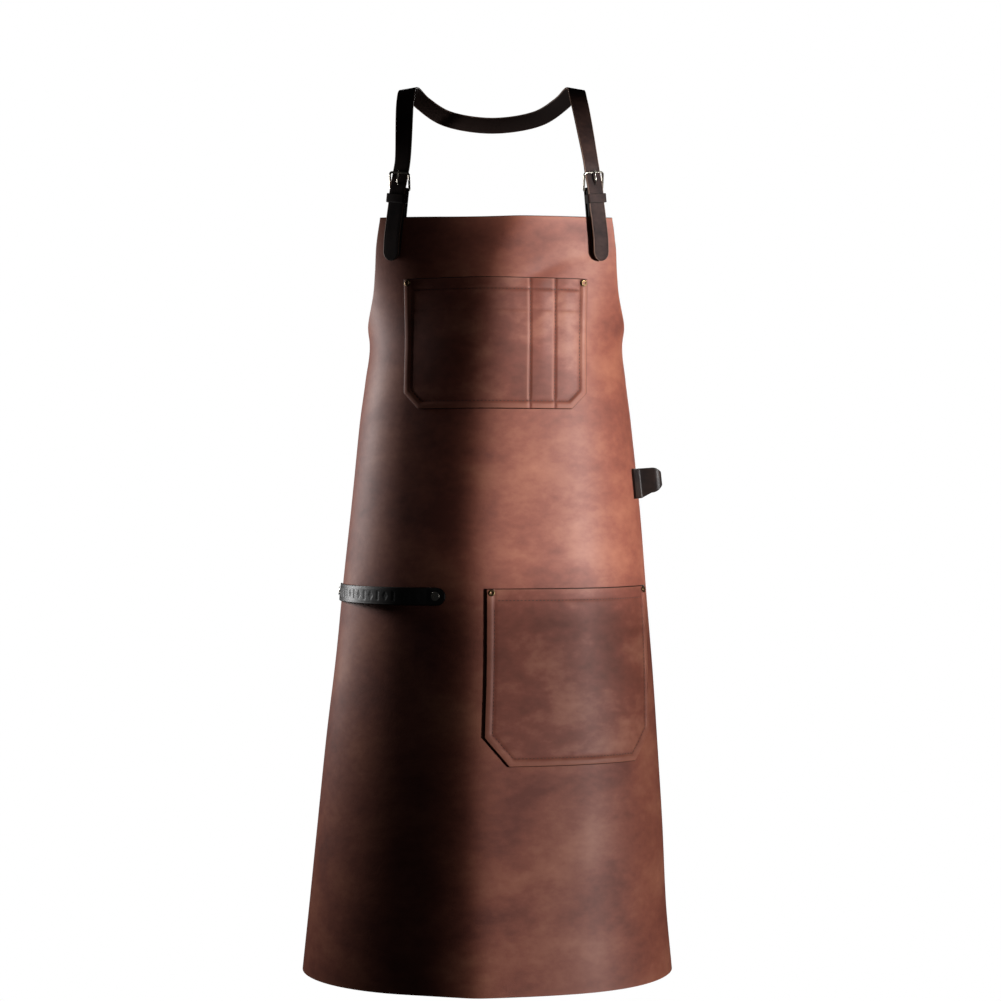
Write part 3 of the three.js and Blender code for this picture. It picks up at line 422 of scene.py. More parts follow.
@dataclass
class Draft:
    """A mesh in the making: points in millimetres, faces with their layer, and what the finishes read."""

    points: list[Vector] = field(default_factory=list)
    faces: list[tuple[int, ...]] = field(default_factory=list)
    layers: list[int] = field(default_factory=list)
    flat: list[tuple[float, float]] = field(default_factory=list)
    # each point's tone: wear and pressed marks, and on the pockets painted highlights and painted shade
    worn: list[float] = field(default_factory=list)

    def add(self, point: Vector, flat: tuple[float, float] = (0, 0), worn: float = 0.0) -> int:
        """Adds a point.

        Args:
            point: Its place.
            flat: Its place on the flat leather.
            worn: Its tone: paler from 0 to 1 where it is worn and where a highlight is painted, darker from 0
                to -1 where it is pressed and where shade is painted.

        Returns:
            Its number.
        """
        self.points.append(point)
        self.flat.append(flat)
        self.worn.append(worn)
        return len(self.points) - 1

    def face(self, corners: Sequence[int], layer: Layer = Layer.GRAIN) -> None:
        """Adds a face of a layer, unless its corners fall together."""
        kept = tuple(dict.fromkeys(corners))
        if len(kept) > 2:
            self.faces.append(kept)
            self.layers.append(layer.value)

    def ring(self, lower: Sequence[int], upper: Sequence[int], layers: Sequence[Layer]) -> None:
        """Joins two rings of points.

        Args:
            lower: The first ring.
            upper: The second ring, as long as the first.
            layers: The layer of the strip behind each point.
        """
        count = len(lower)
        for j in range(count):
            k = (j + 1) % count
            self.face((lower[j], lower[k], upper[k], upper[j]), layers[j])

    def tube(self, rings: Sequence[Sequence[int]], layers: Sequence[Layer], cap: Layer | None) -> None:
        """Joins a row of rings.

        Args:
            rings: The rings in order, all of one length.
            layers: The layer of the strip behind each point of a ring.
            cap: The layer of the end faces, or None where the ends stay open.
        """
        for lower, upper in zip(rings, rings[1:]):
            self.ring(lower, upper, layers)
        if cap is not None:
            self.face(tuple(reversed(rings[0])), cap)
            self.face(tuple(rings[-1]), cap)

    def write(self, name: str, finishes: Sequence[bpy.types.Material], sharp: float = 50) -> bpy.types.Object:
        """Writes the mesh as an object in the row's frame, in metres.

        Args:
            name: The piece's name.
            finishes: Its materials, one for each layer that it uses.
            sharp: The angle in degrees above which an edge is shaded sharp.

        Returns:
            The new object.
        """
        mesh = bpy.data.meshes.new(name)
        mesh.from_pydata([(p + ORIGIN) * MM for p in self.points], [], self.faces)
        flat = mesh.uv_layers.new(name="flat")
        # the tone attribute carries wear, pressed marks, painted highlights and painted shade
        wear_and_painted_light = mesh.attributes.new("wear_and_painted_light", "FLOAT", "POINT")
        wear_and_painted_light.data.foreach_set("value", self.worn)
        for loop in mesh.loops:
            u, v = self.flat[loop.vertex_index]
            flat.data[loop.index].uv = (u * MM, v * MM)
        for material in finishes:
            mesh.materials.append(material)
        last = len(finishes) - 1
        mesh.polygons.foreach_set("material_index", [min(layer, last) for layer in self.layers])
        body = bmesh.new()
        body.from_mesh(mesh)
        bmesh.ops.recalc_face_normals(body, faces=body.faces)
        body.to_mesh(mesh)
        body.free()
        mesh.shade_smooth()
        mesh.set_sharp_from_angle(angle=math.radians(sharp))
        made = bpy.data.objects.new(name, mesh)
        bpy.context.collection.objects.link(made)
        return made


def fasten(piece: bpy.types.Object, slot: Slot, *nodes: str) -> bpy.types.Object:
    """Puts a finished piece on the apron in place of its plain solids.

    Args:
        piece: The piece.
        slot: The material slot that it belongs to; not used.
        nodes: The solids that it stands for.

    Returns:
        The same piece.
    """
    if nodes:
        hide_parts(*nodes)
    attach(piece, BODY)
    LOG.info("%s: %d faces", piece.name, len(piece.data.polygons))
    return piece


RIM_ANGLES = (60, 30, 0, -30, -60)


def leather_sheet(
    outer: Sequence[Sequence[Vector]],
    inner: Sequence[Sequence[Vector]],
    flats: Sequence[Sequence[tuple[float, float]]],
    worn: Sequence[Sequence[float]],
    bevel: float,
) -> Draft:
    """Makes a closed sheet of leather with rounded edges.

    Args:
        outer: The grain side's points, by row and column.
        inner: The flesh side's points.
        flats: Each point's place on the flat leather.
        worn: Each point's tone, for wear, pressed marks, painted highlights and painted shade.
        bevel: How far the rounded edge reaches beyond the grids' own edges.

    Returns:
        The draft.
    """
    draft = Draft()
    rows, columns = len(outer), len(outer[0])
    outward: dict[tuple[int, int], Vector] = {}
    rim = [(0, c) for c in range(columns)] + [(r, columns - 1) for r in range(1, rows)]
    rim += [(rows - 1, c) for c in range(columns - 2, -1, -1)] + [(r, 0) for r in range(rows - 2, 0, -1)]
    for r, c in rim:
        nr, nc = min(max(r, 1), rows - 2), min(max(c, 1), columns - 2)
        away = outer[r][c] - outer[nr][nc]
        outward[(r, c)] = away.normalized() if away.length > 1e-6 else Vector((0, 0, -1))

    def grid(points: Sequence[Sequence[Vector]]) -> list[list[int]]:
        """Adds one side's points, with its edge drawn in by the bevel."""
        numbers = []
        for r in range(rows):
            row = []
            for c in range(columns):
                pull = outward.get((r, c), Vector()) * bevel
                row.append(draft.add(points[r][c] - pull, flats[r][c], worn[r][c]))
            numbers.append(row)
        return numbers

    grain, flesh = grid(outer), grid(inner)
    for r in range(rows - 1):
        for c in range(columns - 1):
            draft.face((grain[r][c], grain[r + 1][c], grain[r + 1][c + 1], grain[r][c + 1]), Layer.GRAIN)
            draft.face((flesh[r][c], flesh[r][c + 1], flesh[r + 1][c + 1], flesh[r + 1][c]), Layer.FLESH)
    loops = [[grain[r][c] for r, c in rim]]
    for angle in RIM_ANGLES:
        sine, cosine = math.sin(math.radians(angle)), math.cos(math.radians(angle))
        loop = []
        for r, c in rim:
            top, low = draft.points[grain[r][c]], draft.points[flesh[r][c]]
            point = (top + low) / 2 + (top - low) / 2 * sine + outward[(r, c)] * bevel * cosine
            loop.append(draft.add(point, flats[r][c], 1.0))
        loops.append(loop)
    loops.append([flesh[r][c] for r, c in rim])
    for upper, lower in zip(loops, loops[1:]):
        draft.ring(lower, upper, [Layer.EDGE] * len(rim))
    return draft


@dataclass
class Station:
    """A strap's section at one place of its length."""

    centre: Vector
    across: Vector
    face: Vector
    half: float
    thickness: float
    run: float


END_PLACES = (0.0, 0.15, 0.5, 1.1, 2, 3.2, 4.8, 7, 10)
END_HALF = 0.3  # a rounded end stops at this half width
END_SHARE = 0.35  # its rubbed edge has this share of the strap's thickness
END_RUB = 1.1  # and reaches this far


def strap_places(length: float, spacing: float, round_from: bool, round_to: bool) -> list[float]:
    """Gives the places of a strap's sections, closer together at its rounded ends.

    Args:
        length: The strap's length.
        spacing: The distance between sections.
        round_from: Whether its start is rounded.
        round_to: Whether its end is.

    Returns:
        Distances from the start.
    """
    low = list(END_PLACES) if round_from else [0.0]
    high = [length - place for place in reversed(END_PLACES)] if round_to else [length]
    count = max(int((high[0] - low[-1]) / spacing), 1)
    return low + steps(low[-1], high[0], count)[1:-1] + high


def end_section(distance: float, width: float, thickness: float) -> tuple[float, float]:
    """Gives the section of a round-ended strap, whose cut end is rubbed thin.

    Args:
        distance: How far it is from the end.
        width: The strap's width.
        thickness: The strap's thickness.

    Returns:
        Half its width and its thickness there.
    """
    half, short = width / 2, max(width / 2 - distance, 0)
    share = END_SHARE + (1 - END_SHARE) * ease(distance / END_RUB)
    return max(math.sqrt(max(half ** 2 - short ** 2, 0)), END_HALF), thickness * share


SIDE_ANGLES = (90, 55, 20, -20, -55, -90)


def strap_mesh(
    stations: Sequence[Station],
    columns: int,
    relief: Callable[[float, float], float] = lambda run, aside: 0.0,
    closed: bool = False,
) -> Draft:
    """Sweeps a strap with rounded edges through its stations.

    Args:
        stations: The sections in order.
        columns: Strips across the strap's faces.
        relief: How deep the grain side is pressed in at a run and a place across.
        closed: Whether the last section joins the first.

    Returns:
        The draft.
    """
    draft = Draft()
    rings = []
    edge_strips = len(SIDE_ANGLES) - 1
    layers = [Layer.GRAIN] * columns + [Layer.EDGE] * edge_strips
    layers += [Layer.FLESH] * columns + [Layer.EDGE] * edge_strips
    for station in stations:
        bevel = min(0.45 * station.thickness, 0.8 * station.half)
        flat_half, deep = station.half - bevel, station.thickness / 2

        def at(aside: float, out: float, wear_and_painted_light: float) -> int:
            """Adds a point of the section."""
            point = station.centre + station.across * aside + station.face * out
            return draft.add(point, (station.run, aside), wear_and_painted_light)

        ring = []
        for aside in steps(-flat_half, flat_half, columns):
            depth = relief(station.run, aside)
            near = 0.5 * math.exp(-(station.half - abs(aside)) / 0.9)
            ring.append(at(aside, deep - depth, near - min(depth / 0.35, 1)))
        for angle in SIDE_ANGLES[1:-1]:
            a = math.radians(angle)
            ring.append(at(flat_half + bevel * math.cos(a), deep * math.sin(a), 1))
        ring += [at(aside, -deep, 0) for aside in steps(flat_half, -flat_half, columns)]
        for angle in reversed(SIDE_ANGLES[1:-1]):
            a = math.radians(angle)
            ring.append(at(-flat_half - bevel * math.cos(a), deep * math.sin(a), 1))
        rings.append(ring)
    if closed:
        rings.append(rings[0])
    draft.tube(rings, layers, None if closed else Layer.EDGE)
    return draft


def tube_mesh(path: Sequence[Vector], radii: Sequence[float], sides: int, closed: bool) -> Draft:
    """Sweeps a round wire along a path.

    Args:
        path: The middle of the wire.
        radii: Its radius at each point.
        sides: Faces round it.
        closed: Whether its end joins its start.

    Returns:
        The draft.
    """
    draft = Draft()
    rings = []
    across = None
    for i, point in enumerate(path):
        before, after = neighbours(path, i, closed)
        way = (after - before).normalized()
        if across is None:
            across = way.orthogonal().normalized()
        across = (across - way * across.dot(way)).normalized()
        other = way.cross(across)
        rings.append([draft.add(point + (across * x + other * y) * radii[i]) for x, y in circle(sides)])
    layers = [Layer.GRAIN] * sides
    draft.tube(rings, layers, None if closed else Layer.GRAIN)
    if closed:
        # The last ring may be turned against the first, so it meets the nearest of its points.
        first, last = rings[0], rings[-1]
        turn = min(range(sides), key=lambda k: (draft.points[last[0]] - draft.points[first[k]]).length)
        draft.ring(last, first[turn:] + first[:turn], layers)
    return draft


def lathe_mesh(profile: Sequence[tuple[float, float]], sides: int, place: Matrix) -> Draft:
    """Turns a profile round the y axis of a frame.

    Args:
        profile: Radius and y of each point, from one end of the axis to the other.
        sides: Faces round it.
        place: The frame.

    Returns:
        The draft.
    """
    draft = Draft()
    rings = []
    for radius, y in profile:
        if radius < 1e-6:
            rings.append([draft.add(place @ Vector((0, y, 0)))] * sides)
            continue
        rings.append([draft.add(place @ Vector((radius * x, y, radius * z))) for x, z in circle(sides)])
    draft.tube(rings, [Layer.GRAIN] * sides, None)
    return draft


def add_node(
    tree: bpy.types.NodeTree,
    kind: str,
    values: dict[str | int, Any] | None = None,
    links: dict[str | int, bpy.types.NodeSocket] | None = None,
    **settings: Any,
) -> bpy.types.Node:
    """Adds a node with its settings and links.

    Args:
        tree: The node tree.
        kind: The node's type.
        values: Values of its inputs.
        links: Outputs that feed its inputs.
        settings: Attributes of the node.

    Returns:
        The node.
    """
    made = tree.nodes.new(kind)
    for name, value in settings.items():
        setattr(made, name, value)
    for socket, value in (values or {}).items():
        made.inputs[socket].default_value = value
    for socket, source in (links or {}).items():
        tree.links.new(source, made.inputs[socket])
    return made


def new_material(name: str) -> tuple[bpy.types.Material, bpy.types.NodeTree, bpy.types.Node]:
    """Makes an empty material.

    Args:
        name: The real material's name.

    Returns:
        The material, its node tree and its output node.
    """
    material = bpy.data.materials.new(name)
    material.use_nodes = True
    tree = material.node_tree
    tree.nodes.clear()
    return material, tree, add_node(tree, "ShaderNodeOutputMaterial")


@dataclass(frozen=True)
class PullUpLeather:
    """Full-grain cowhide, drum-dyed and hot-waxed, so that it pales where it is pulled or worn by rubbing.

    To the eye it is a soft satin brown in uneven clouds, with a fine pebbled grain.
    """

    name: str
    body: str
    deep: str
    pale: str
    cloud_mm: float = 75  # the clouds of wax
    mottle_mm: float = 11
    grain_mm: float = 1.5  # real grain is about 0.8 mm, drawn coarser so that it shows
    crease_mm: float = 24
    roughness: float = 0.55
    rough_spread: float = 0.08
    specular: float = 0.3
    coat: float = 0.02
    stretch: tuple[float, float, float] = (0.8, 0.8, 1.25)  # the clouds lie along the hide
    mottled: float = 0.3
    tone_from: float = 0.34
    tone_to: float = 0.68
    # how far the tone attribute paints paler, for wear and painted highlights, and darker, for pressed marks
    # and painted shade
    wear_and_painted_light_pale: float = 0.7
    pressed_and_painted_shade_dark: float = 0.75
    pressed_dull: float = 0.45
    pore_bump: float = 0.22
    fold_bump: float = 0.3

    def make(self) -> bpy.types.Material:
        """Makes the leather's grain side.

        Returns:
            The material.
        """
        material, tree, output = new_material(self.name)
        place = add_node(tree, "ShaderNodeTexCoord").outputs["Object"]
        mapped = add_node(tree, "ShaderNodeMapping", {"Scale": self.stretch}, {"Vector": place})
        along = mapped.outputs["Vector"]
        cloud = add_node(tree, "ShaderNodeTexNoise",
                         {"Scale": 1 / (self.cloud_mm * MM), "Detail": 3, "Roughness": 0.5, "Distortion": 0.4},
                         {"Vector": along}).outputs["Fac"]
        mottle = add_node(tree, "ShaderNodeTexNoise",
                          {"Scale": 1 / (self.mottle_mm * MM), "Detail": 4, "Roughness": 0.6},
                          {"Vector": along}).outputs["Fac"]
        tones = add_node(tree, "ShaderNodeMix", {"Factor": self.mottled}, {"A": cloud, "B": mottle})
        ramp = add_node(tree, "ShaderNodeValToRGB", links={"Fac": tones.outputs["Result"]})
        stops = ramp.color_ramp.elements
        stops[0].position, stops[1].position = self.tone_from, self.tone_to
        stops[0].color, stops[1].color = linear(self.deep), linear(self.pale)
        stops.new(0.5).color = linear(self.body)
        # paler for wear and painted highlights, darker for pressed marks and painted shade
        wear_and_painted_light = add_node(tree, "ShaderNodeAttribute", attribute_name="wear_and_painted_light").outputs["Fac"]
        paler = add_node(tree, "ShaderNodeMapRange", {"From Max": 1, "To Max": self.wear_and_painted_light_pale},
                         {"Value": wear_and_painted_light})
        colour = add_node(tree, "ShaderNodeMix", {"B": linear(self.pale)},
                          {"Factor": paler.outputs["Result"], "A": ramp.outputs["Color"]}, data_type="RGBA")
        pressed = add_node(tree, "ShaderNodeMapRange",
                           {"From Min": -1, "From Max": 0, "To Min": self.pressed_and_painted_shade_dark, "To Max": 0},
                           {"Value": wear_and_painted_light}).outputs["Result"]
        darker = add_node(tree, "ShaderNodeMix", {"B": linear(self.deep)},
                          {"Factor": pressed, "A": colour.outputs[2]}, data_type="RGBA")
        rough = add_node(tree, "ShaderNodeMapRange",
                         {"From Min": 0.3, "From Max": 0.7, "To Min": self.roughness + self.rough_spread / 2,
                          "To Max": self.roughness - self.rough_spread / 2},
                         {"Value": cloud})
        dull = add_node(tree, "ShaderNodeMath", {1: self.pressed_dull},
                        {0: pressed, 2: rough.outputs["Result"]}, operation="MULTIPLY_ADD")
        grain = add_node(tree, "ShaderNodeTexVoronoi", {"Scale": 1 / (self.grain_mm * MM), "Smoothness": 0.6},
                         {"Vector": place}, feature="SMOOTH_F1")
        pores = add_node(tree, "ShaderNodeBump",
                         {"Strength": self.pore_bump, "Distance": 0.1 * self.grain_mm * MM},
                         {"Height": grain.outputs["Distance"]})
        crease = add_node(tree, "ShaderNodeTexNoise",
                          {"Scale": 1 / (self.crease_mm * MM), "Detail": 5, "Roughness": 0.62,
                           "Distortion": 0.8},
                          {"Vector": place})
        folds = add_node(tree, "ShaderNodeBump",
                         {"Strength": self.fold_bump, "Distance": 0.03 * self.crease_mm * MM},
                         {"Height": crease.outputs["Fac"], "Normal": pores.outputs["Normal"]})
        shader = add_node(tree, "ShaderNodeBsdfPrincipled",
                          {"Specular IOR Level": self.specular, "IOR": 1.5, "Coat Weight": self.coat,
                           "Coat Roughness": 0.35},
                          {"Base Color": darker.outputs[2], "Roughness": dull.outputs["Value"],
                           "Normal": folds.outputs["Normal"]})
        tree.links.new(shader.outputs["BSDF"], output.inputs["Surface"])
        return material


@dataclass(frozen=True)
class PlainLeather:
    """The parts of leather without its grain: the split flesh side, and cut edges burnished with wax."""

    name: str
    body: str
    deep: str
    nap_mm: float
    roughness: float
    bump: float

    def make(self) -> bpy.types.Material:
        """Makes the surface, whose short fibres give it a fine nap.

        Returns:
            The material.
        """
        material, tree, output = new_material(self.name)
        place = add_node(tree, "ShaderNodeTexCoord").outputs["Object"]
        nap = add_node(tree, "ShaderNodeTexNoise",
                       {"Scale": 1 / (self.nap_mm * MM), "Detail": 5.0, "Roughness": 0.7}, {"Vector": place})
        colour = add_node(tree, "ShaderNodeMix", {"A": linear(self.deep), "B": linear(self.body)},
                          {"Factor": nap.outputs["Fac"]}, data_type="RGBA")
        bump = add_node(tree, "ShaderNodeBump", {"Strength": self.bump, "Distance": 0.2 * self.nap_mm * MM},
                        {"Height": nap.outputs["Fac"]})
        shader = add_node(tree, "ShaderNodeBsdfPrincipled",
                          {"Roughness": self.roughness, "IOR": 1.5, "Specular IOR Level": 0.35},
                          {"Base Color": colour.outputs[2], "Normal": bump.outputs["Normal"]})
        tree.links.new(shader.outputs["BSDF"], output.inputs["Surface"])
        return material


@dataclass(frozen=True)
class Metal:
    """Plated or bare metal that has been polished and handled, so that it mirrors softly in fine streaks."""

    name: str
    body: str
    tarnish: str
    roughness: float
    stain_mm: float = 2.2
    tarnished: float = 0.35
    rough_spread: float = 0.14

    def make(self) -> bpy.types.Material:
        """Makes the metal.

        Returns:
            The material.
        """
        material, tree, output = new_material(self.name)
        place = add_node(tree, "ShaderNodeTexCoord").outputs["Object"]
        stain = add_node(tree, "ShaderNodeTexNoise",
                         {"Scale": 1 / (self.stain_mm * MM), "Detail": 4, "Roughness": 0.6},
                         {"Vector": place}).outputs["Fac"]
        share = add_node(tree, "ShaderNodeMapRange",
                         {"From Min": 0.4, "From Max": 0.7, "To Max": self.tarnished}, {"Value": stain})
        colour = add_node(tree, "ShaderNodeMix", {"A": linear(self.body), "B": linear(self.tarnish)},
                          {"Factor": share.outputs["Result"]}, data_type="RGBA")
        rough = add_node(tree, "ShaderNodeMapRange",
                         {"To Min": self.roughness, "To Max": self.roughness + self.rough_spread},
                         {"Value": stain})
        shader = add_node(tree, "ShaderNodeBsdfPrincipled", {"Metallic": 1.0},
                          {"Base Color": colour.outputs[2], "Roughness": rough.outputs["Result"]})
        tree.links.new(shader.outputs["BSDF"], output.inputs["Surface"])
        return material


@dataclass(frozen=True)
class Thread:
    """Bonded polyester thread, waxed, which looks like a thin dark cord with a dull shine."""

    name: str = "waxed_polyester_thread"
    body: str = "4b2f25"
    ply_mm: float = 0.35
    roughness: float = 0.5

    def make(self) -> bpy.types.Material:
        """Makes the thread, with the twist of its plies as a fine band.

        Returns:
            The material.
        """
        material, tree, output = new_material(self.name)
        place = add_node(tree, "ShaderNodeTexCoord").outputs["Object"]
        twist = add_node(tree, "ShaderNodeTexWave",
                         {"Scale": 1 / (self.ply_mm * MM) / 20, "Distortion": 1.5, "Detail": 2},
                         {"Vector": place}, bands_direction="DIAGONAL")
        bump = add_node(tree, "ShaderNodeBump", {"Strength": 0.4, "Distance": 0.1 * MM},
                        {"Height": twist.outputs["Fac"]})
        shader = add_node(tree, "ShaderNodeBsdfPrincipled",
                          {"Base Color": linear(self.body), "Roughness": self.roughness,
                           "Specular IOR Level": 0.4},
                          {"Normal": bump.outputs["Normal"]})
        tree.links.new(shader.outputs["BSDF"], output.inputs["Surface"])
        return material


@dataclass
class Finishes:
    """All finishes of the apron, each made once."""

    hide: list[bpy.types.Material] = field(default_factory=list)
    pocket: list[bpy.types.Material] = field(default_factory=list)
    strap: list[bpy.types.Material] = field(default_factory=list)
    keeper: list[bpy.types.Material] = field(default_factory=list)
    band: list[bpy.types.Material] = field(default_factory=list)
    tab: list[bpy.types.Material] = field(default_factory=list)
    thread: bpy.types.Material | None = None
    brass: bpy.types.Material | None = None
    nickel: bpy.types.Material | None = None

    def make(self) -> "Finishes":
        """Makes the materials.

        Returns:
            The same finishes, filled in.
        """
        flesh = PlainLeather("split_leather_flesh_side", "8b6350", "5e3f31", 1.6, 0.9, 0.5).make()
        edge = PlainLeather("burnished_leather_edge", "4a2a20", "2c1711", 0.9, 0.55, 0.25).make()
        raw = PlainLeather("raw_strap_edge", "86695a", "54392c", 0.9, 0.6, 0.25).make()
        dark_flesh = PlainLeather("dyed_strap_flesh_side", "33211b", "1d120e", 1.2, 0.85, 0.4).make()
        self.hide = [PullUpLeather("pull_up_cowhide", "8c5040", "733f34", "a46751").make(), flesh, edge]
        pocket = PullUpLeather("pull_up_cowhide_pocket", "82483a", "6c3b2f", "a06551", cloud_mm=60)
        self.pocket = [pocket.make(), flesh, edge]
        fine = {"mottle_mm": 5, "crease_mm": 9}
        oiled = PullUpLeather("dyed_oiled_strap_leather", "2b1915", "150b09", "3f2a23", cloud_mm=40,
                              grain_mm=1.1, roughness=0.68, specular=0.22, coat=0, **fine)
        self.strap = [oiled.make(), dark_flesh, raw]
        inked = PlainLeather("inked_leather_edge", "1f130f", "110a08", 0.9, 0.5, 0.2).make()
        self.keeper = [self.strap[0], dark_flesh, inked]
        glazed = PullUpLeather("glazed_bridle_leather", "211a18", "110d0c", "372f2b", cloud_mm=30,
                               grain_mm=1.0, roughness=0.36, specular=0.9, coat=0.15, **fine)
        self.band = [glazed.make(), dark_flesh, inked]
        waxed = PullUpLeather("waxed_tab_leather", "1d1310", "0f0908", "30221c", cloud_mm=30,
                              grain_mm=1.0, roughness=0.52, specular=0.35, coat=0, **fine)
        self.tab = [waxed.make(), dark_flesh, inked]
        self.thread = Thread().make()
        self.brass = Metal("aged_brass", "7d6647", "2b2019", 0.34, tarnished=0.75).make()
        self.nickel = Metal("nickel_plated_steel", "cfc8bb", "8d857a", 0.16).make()
        return self


@dataclass
class HidePanel:
    """The one piece of hide: bib, armholes and skirt."""

    finishes: Finishes
    columns: int = 150
    hem_rows: tuple[float, ...] = (0.3, 0.55, 0.75, 0.9, 0.97, 1)
    row_mm: float = 3.6
    bevel: float = 0.8
    rub: float = 0.7
    rub_mm: float = 3.5

    def drops(self) -> list[float]:
        """Gives the levels of the mesh, closer together at the hem's round corners."""
        straight = WORN.panel_drop - WORN.hem_corner
        rows = steps(0, straight, round(straight / self.row_mm))
        return rows + [straight + share * WORN.hem_corner for share in self.hem_rows]

    def flat_area(self) -> float:
        """Gives the area of the cut hide in square metres."""
        drops = self.drops()
        return sum(
            (WORN.cut_edge(a) + WORN.cut_edge(b)) * (b - a) for a, b in zip(drops, drops[1:])
        ) * MM * MM

    def build(self, hangs_from: Sequence[str]) -> bpy.types.Object:
        """Args:
            hangs_from: The pieces that hold it up; not used.

        Returns:
            The panel.
        """
        drops = self.drops()
        shares = steps(-1, 1, self.columns)
        outer, inner, flats, worn = [], [], [], []
        for drop in drops:
            edge = WORN.cut_edge(drop)
            rows: tuple[list, list, list, list] = ([], [], [], [])
            for share in shares:
                arc = share * edge
                lift = WORN.lift(share * WORN.bib_half_arc) * (1 - min(drop / WORN.ear_drop, 1))
                for offset, row in ((WORN.leather, rows[0]), (0, rows[1])):
                    point = WORN.skin(arc, drop, offset)
                    point.z += lift
                    row.append(point)
                rows[2].append((arc, drop))
                near = min(edge - abs(arc), drop, WORN.panel_drop - drop)
                rows[3].append(self.rub * math.exp(-near / self.rub_mm))
            for grid, row in zip((outer, inner, flats, worn), rows):
                grid.append(row)
        draft = leather_sheet(outer, inner, flats, worn, self.bevel)
        panel = fasten(draft.write("hide_panel", self.finishes.hide), Slot.HIDE, "apron_panel")
        self.flat_area()
        return panel


@dataclass
class StitchRow:
    """A row of lock stitches that lie in a groove."""

    pitch: float = 4.0
    length: float = 2.9
    half_width: float = 0.42
    half_height: float = 0.34
    stand: float = 0.1
    taper: float = 0.12  # the part of a stitch's round that each needle hole hides
    sink: float = 0.6
    sides: int = 6
    rings: int = 5

    def add(
        self,
        draft: Draft,
        path: Sequence[tuple[float, float]],
        height: Callable[[float, float], float],
    ) -> None:
        """Adds the stitches along a path on the worn shape.

        Args:
            draft: Where they are added.
            path: Corners of the path, as arcs and drops.
            height: How far the leather's face stands off the panel's inner face there.
        """
        for (arc_a, drop_a), (arc_b, drop_b) in zip(path, path[1:]):
            run = math.hypot(arc_b - arc_a, drop_b - drop_a)
            count = max(int(run / self.pitch), 1)
            for k in range(count):
                share = (k + 0.5) / count
                arc, drop = arc_a + share * (arc_b - arc_a), drop_a + share * (drop_b - drop_a)
                step = ((arc_b - arc_a) / run * self.length / 2, (drop_b - drop_a) / run * self.length / 2)
                offset = height(arc, drop) + self.stand
                start = WORN.skin(arc - step[0], drop - step[1], offset)
                end = WORN.skin(arc + step[0], drop + step[1], offset)
                out = (WORN.skin(arc, drop, offset + 1) - WORN.skin(arc, drop, offset)).normalized()
                self.one(draft, start, end, out)

    def one(self, draft: Draft, start: Vector, end: Vector, out: Vector) -> None:
        """Adds one stitch between two needle holes.

        Args:
            draft: Where it is added.
            start: One hole.
            end: The other.
            out: The way the leather faces.
        """
        way = (end - start).normalized()
        aside = way.cross(out)
        rings = []
        for i in range(self.rings):
            share = i / (self.rings - 1)
            swell = math.sin(math.pi * (self.taper + (1 - 2 * self.taper) * share))
            middle = start + (end - start) * share + out * (swell - self.sink) * self.half_height
            rings.append([
                draft.add(middle + aside * x * self.half_width * swell + out * y * self.half_height * swell)
                for x, y in circle(self.sides)
            ])
        draft.tube(rings, [Layer.GRAIN] * self.sides, Layer.GRAIN)


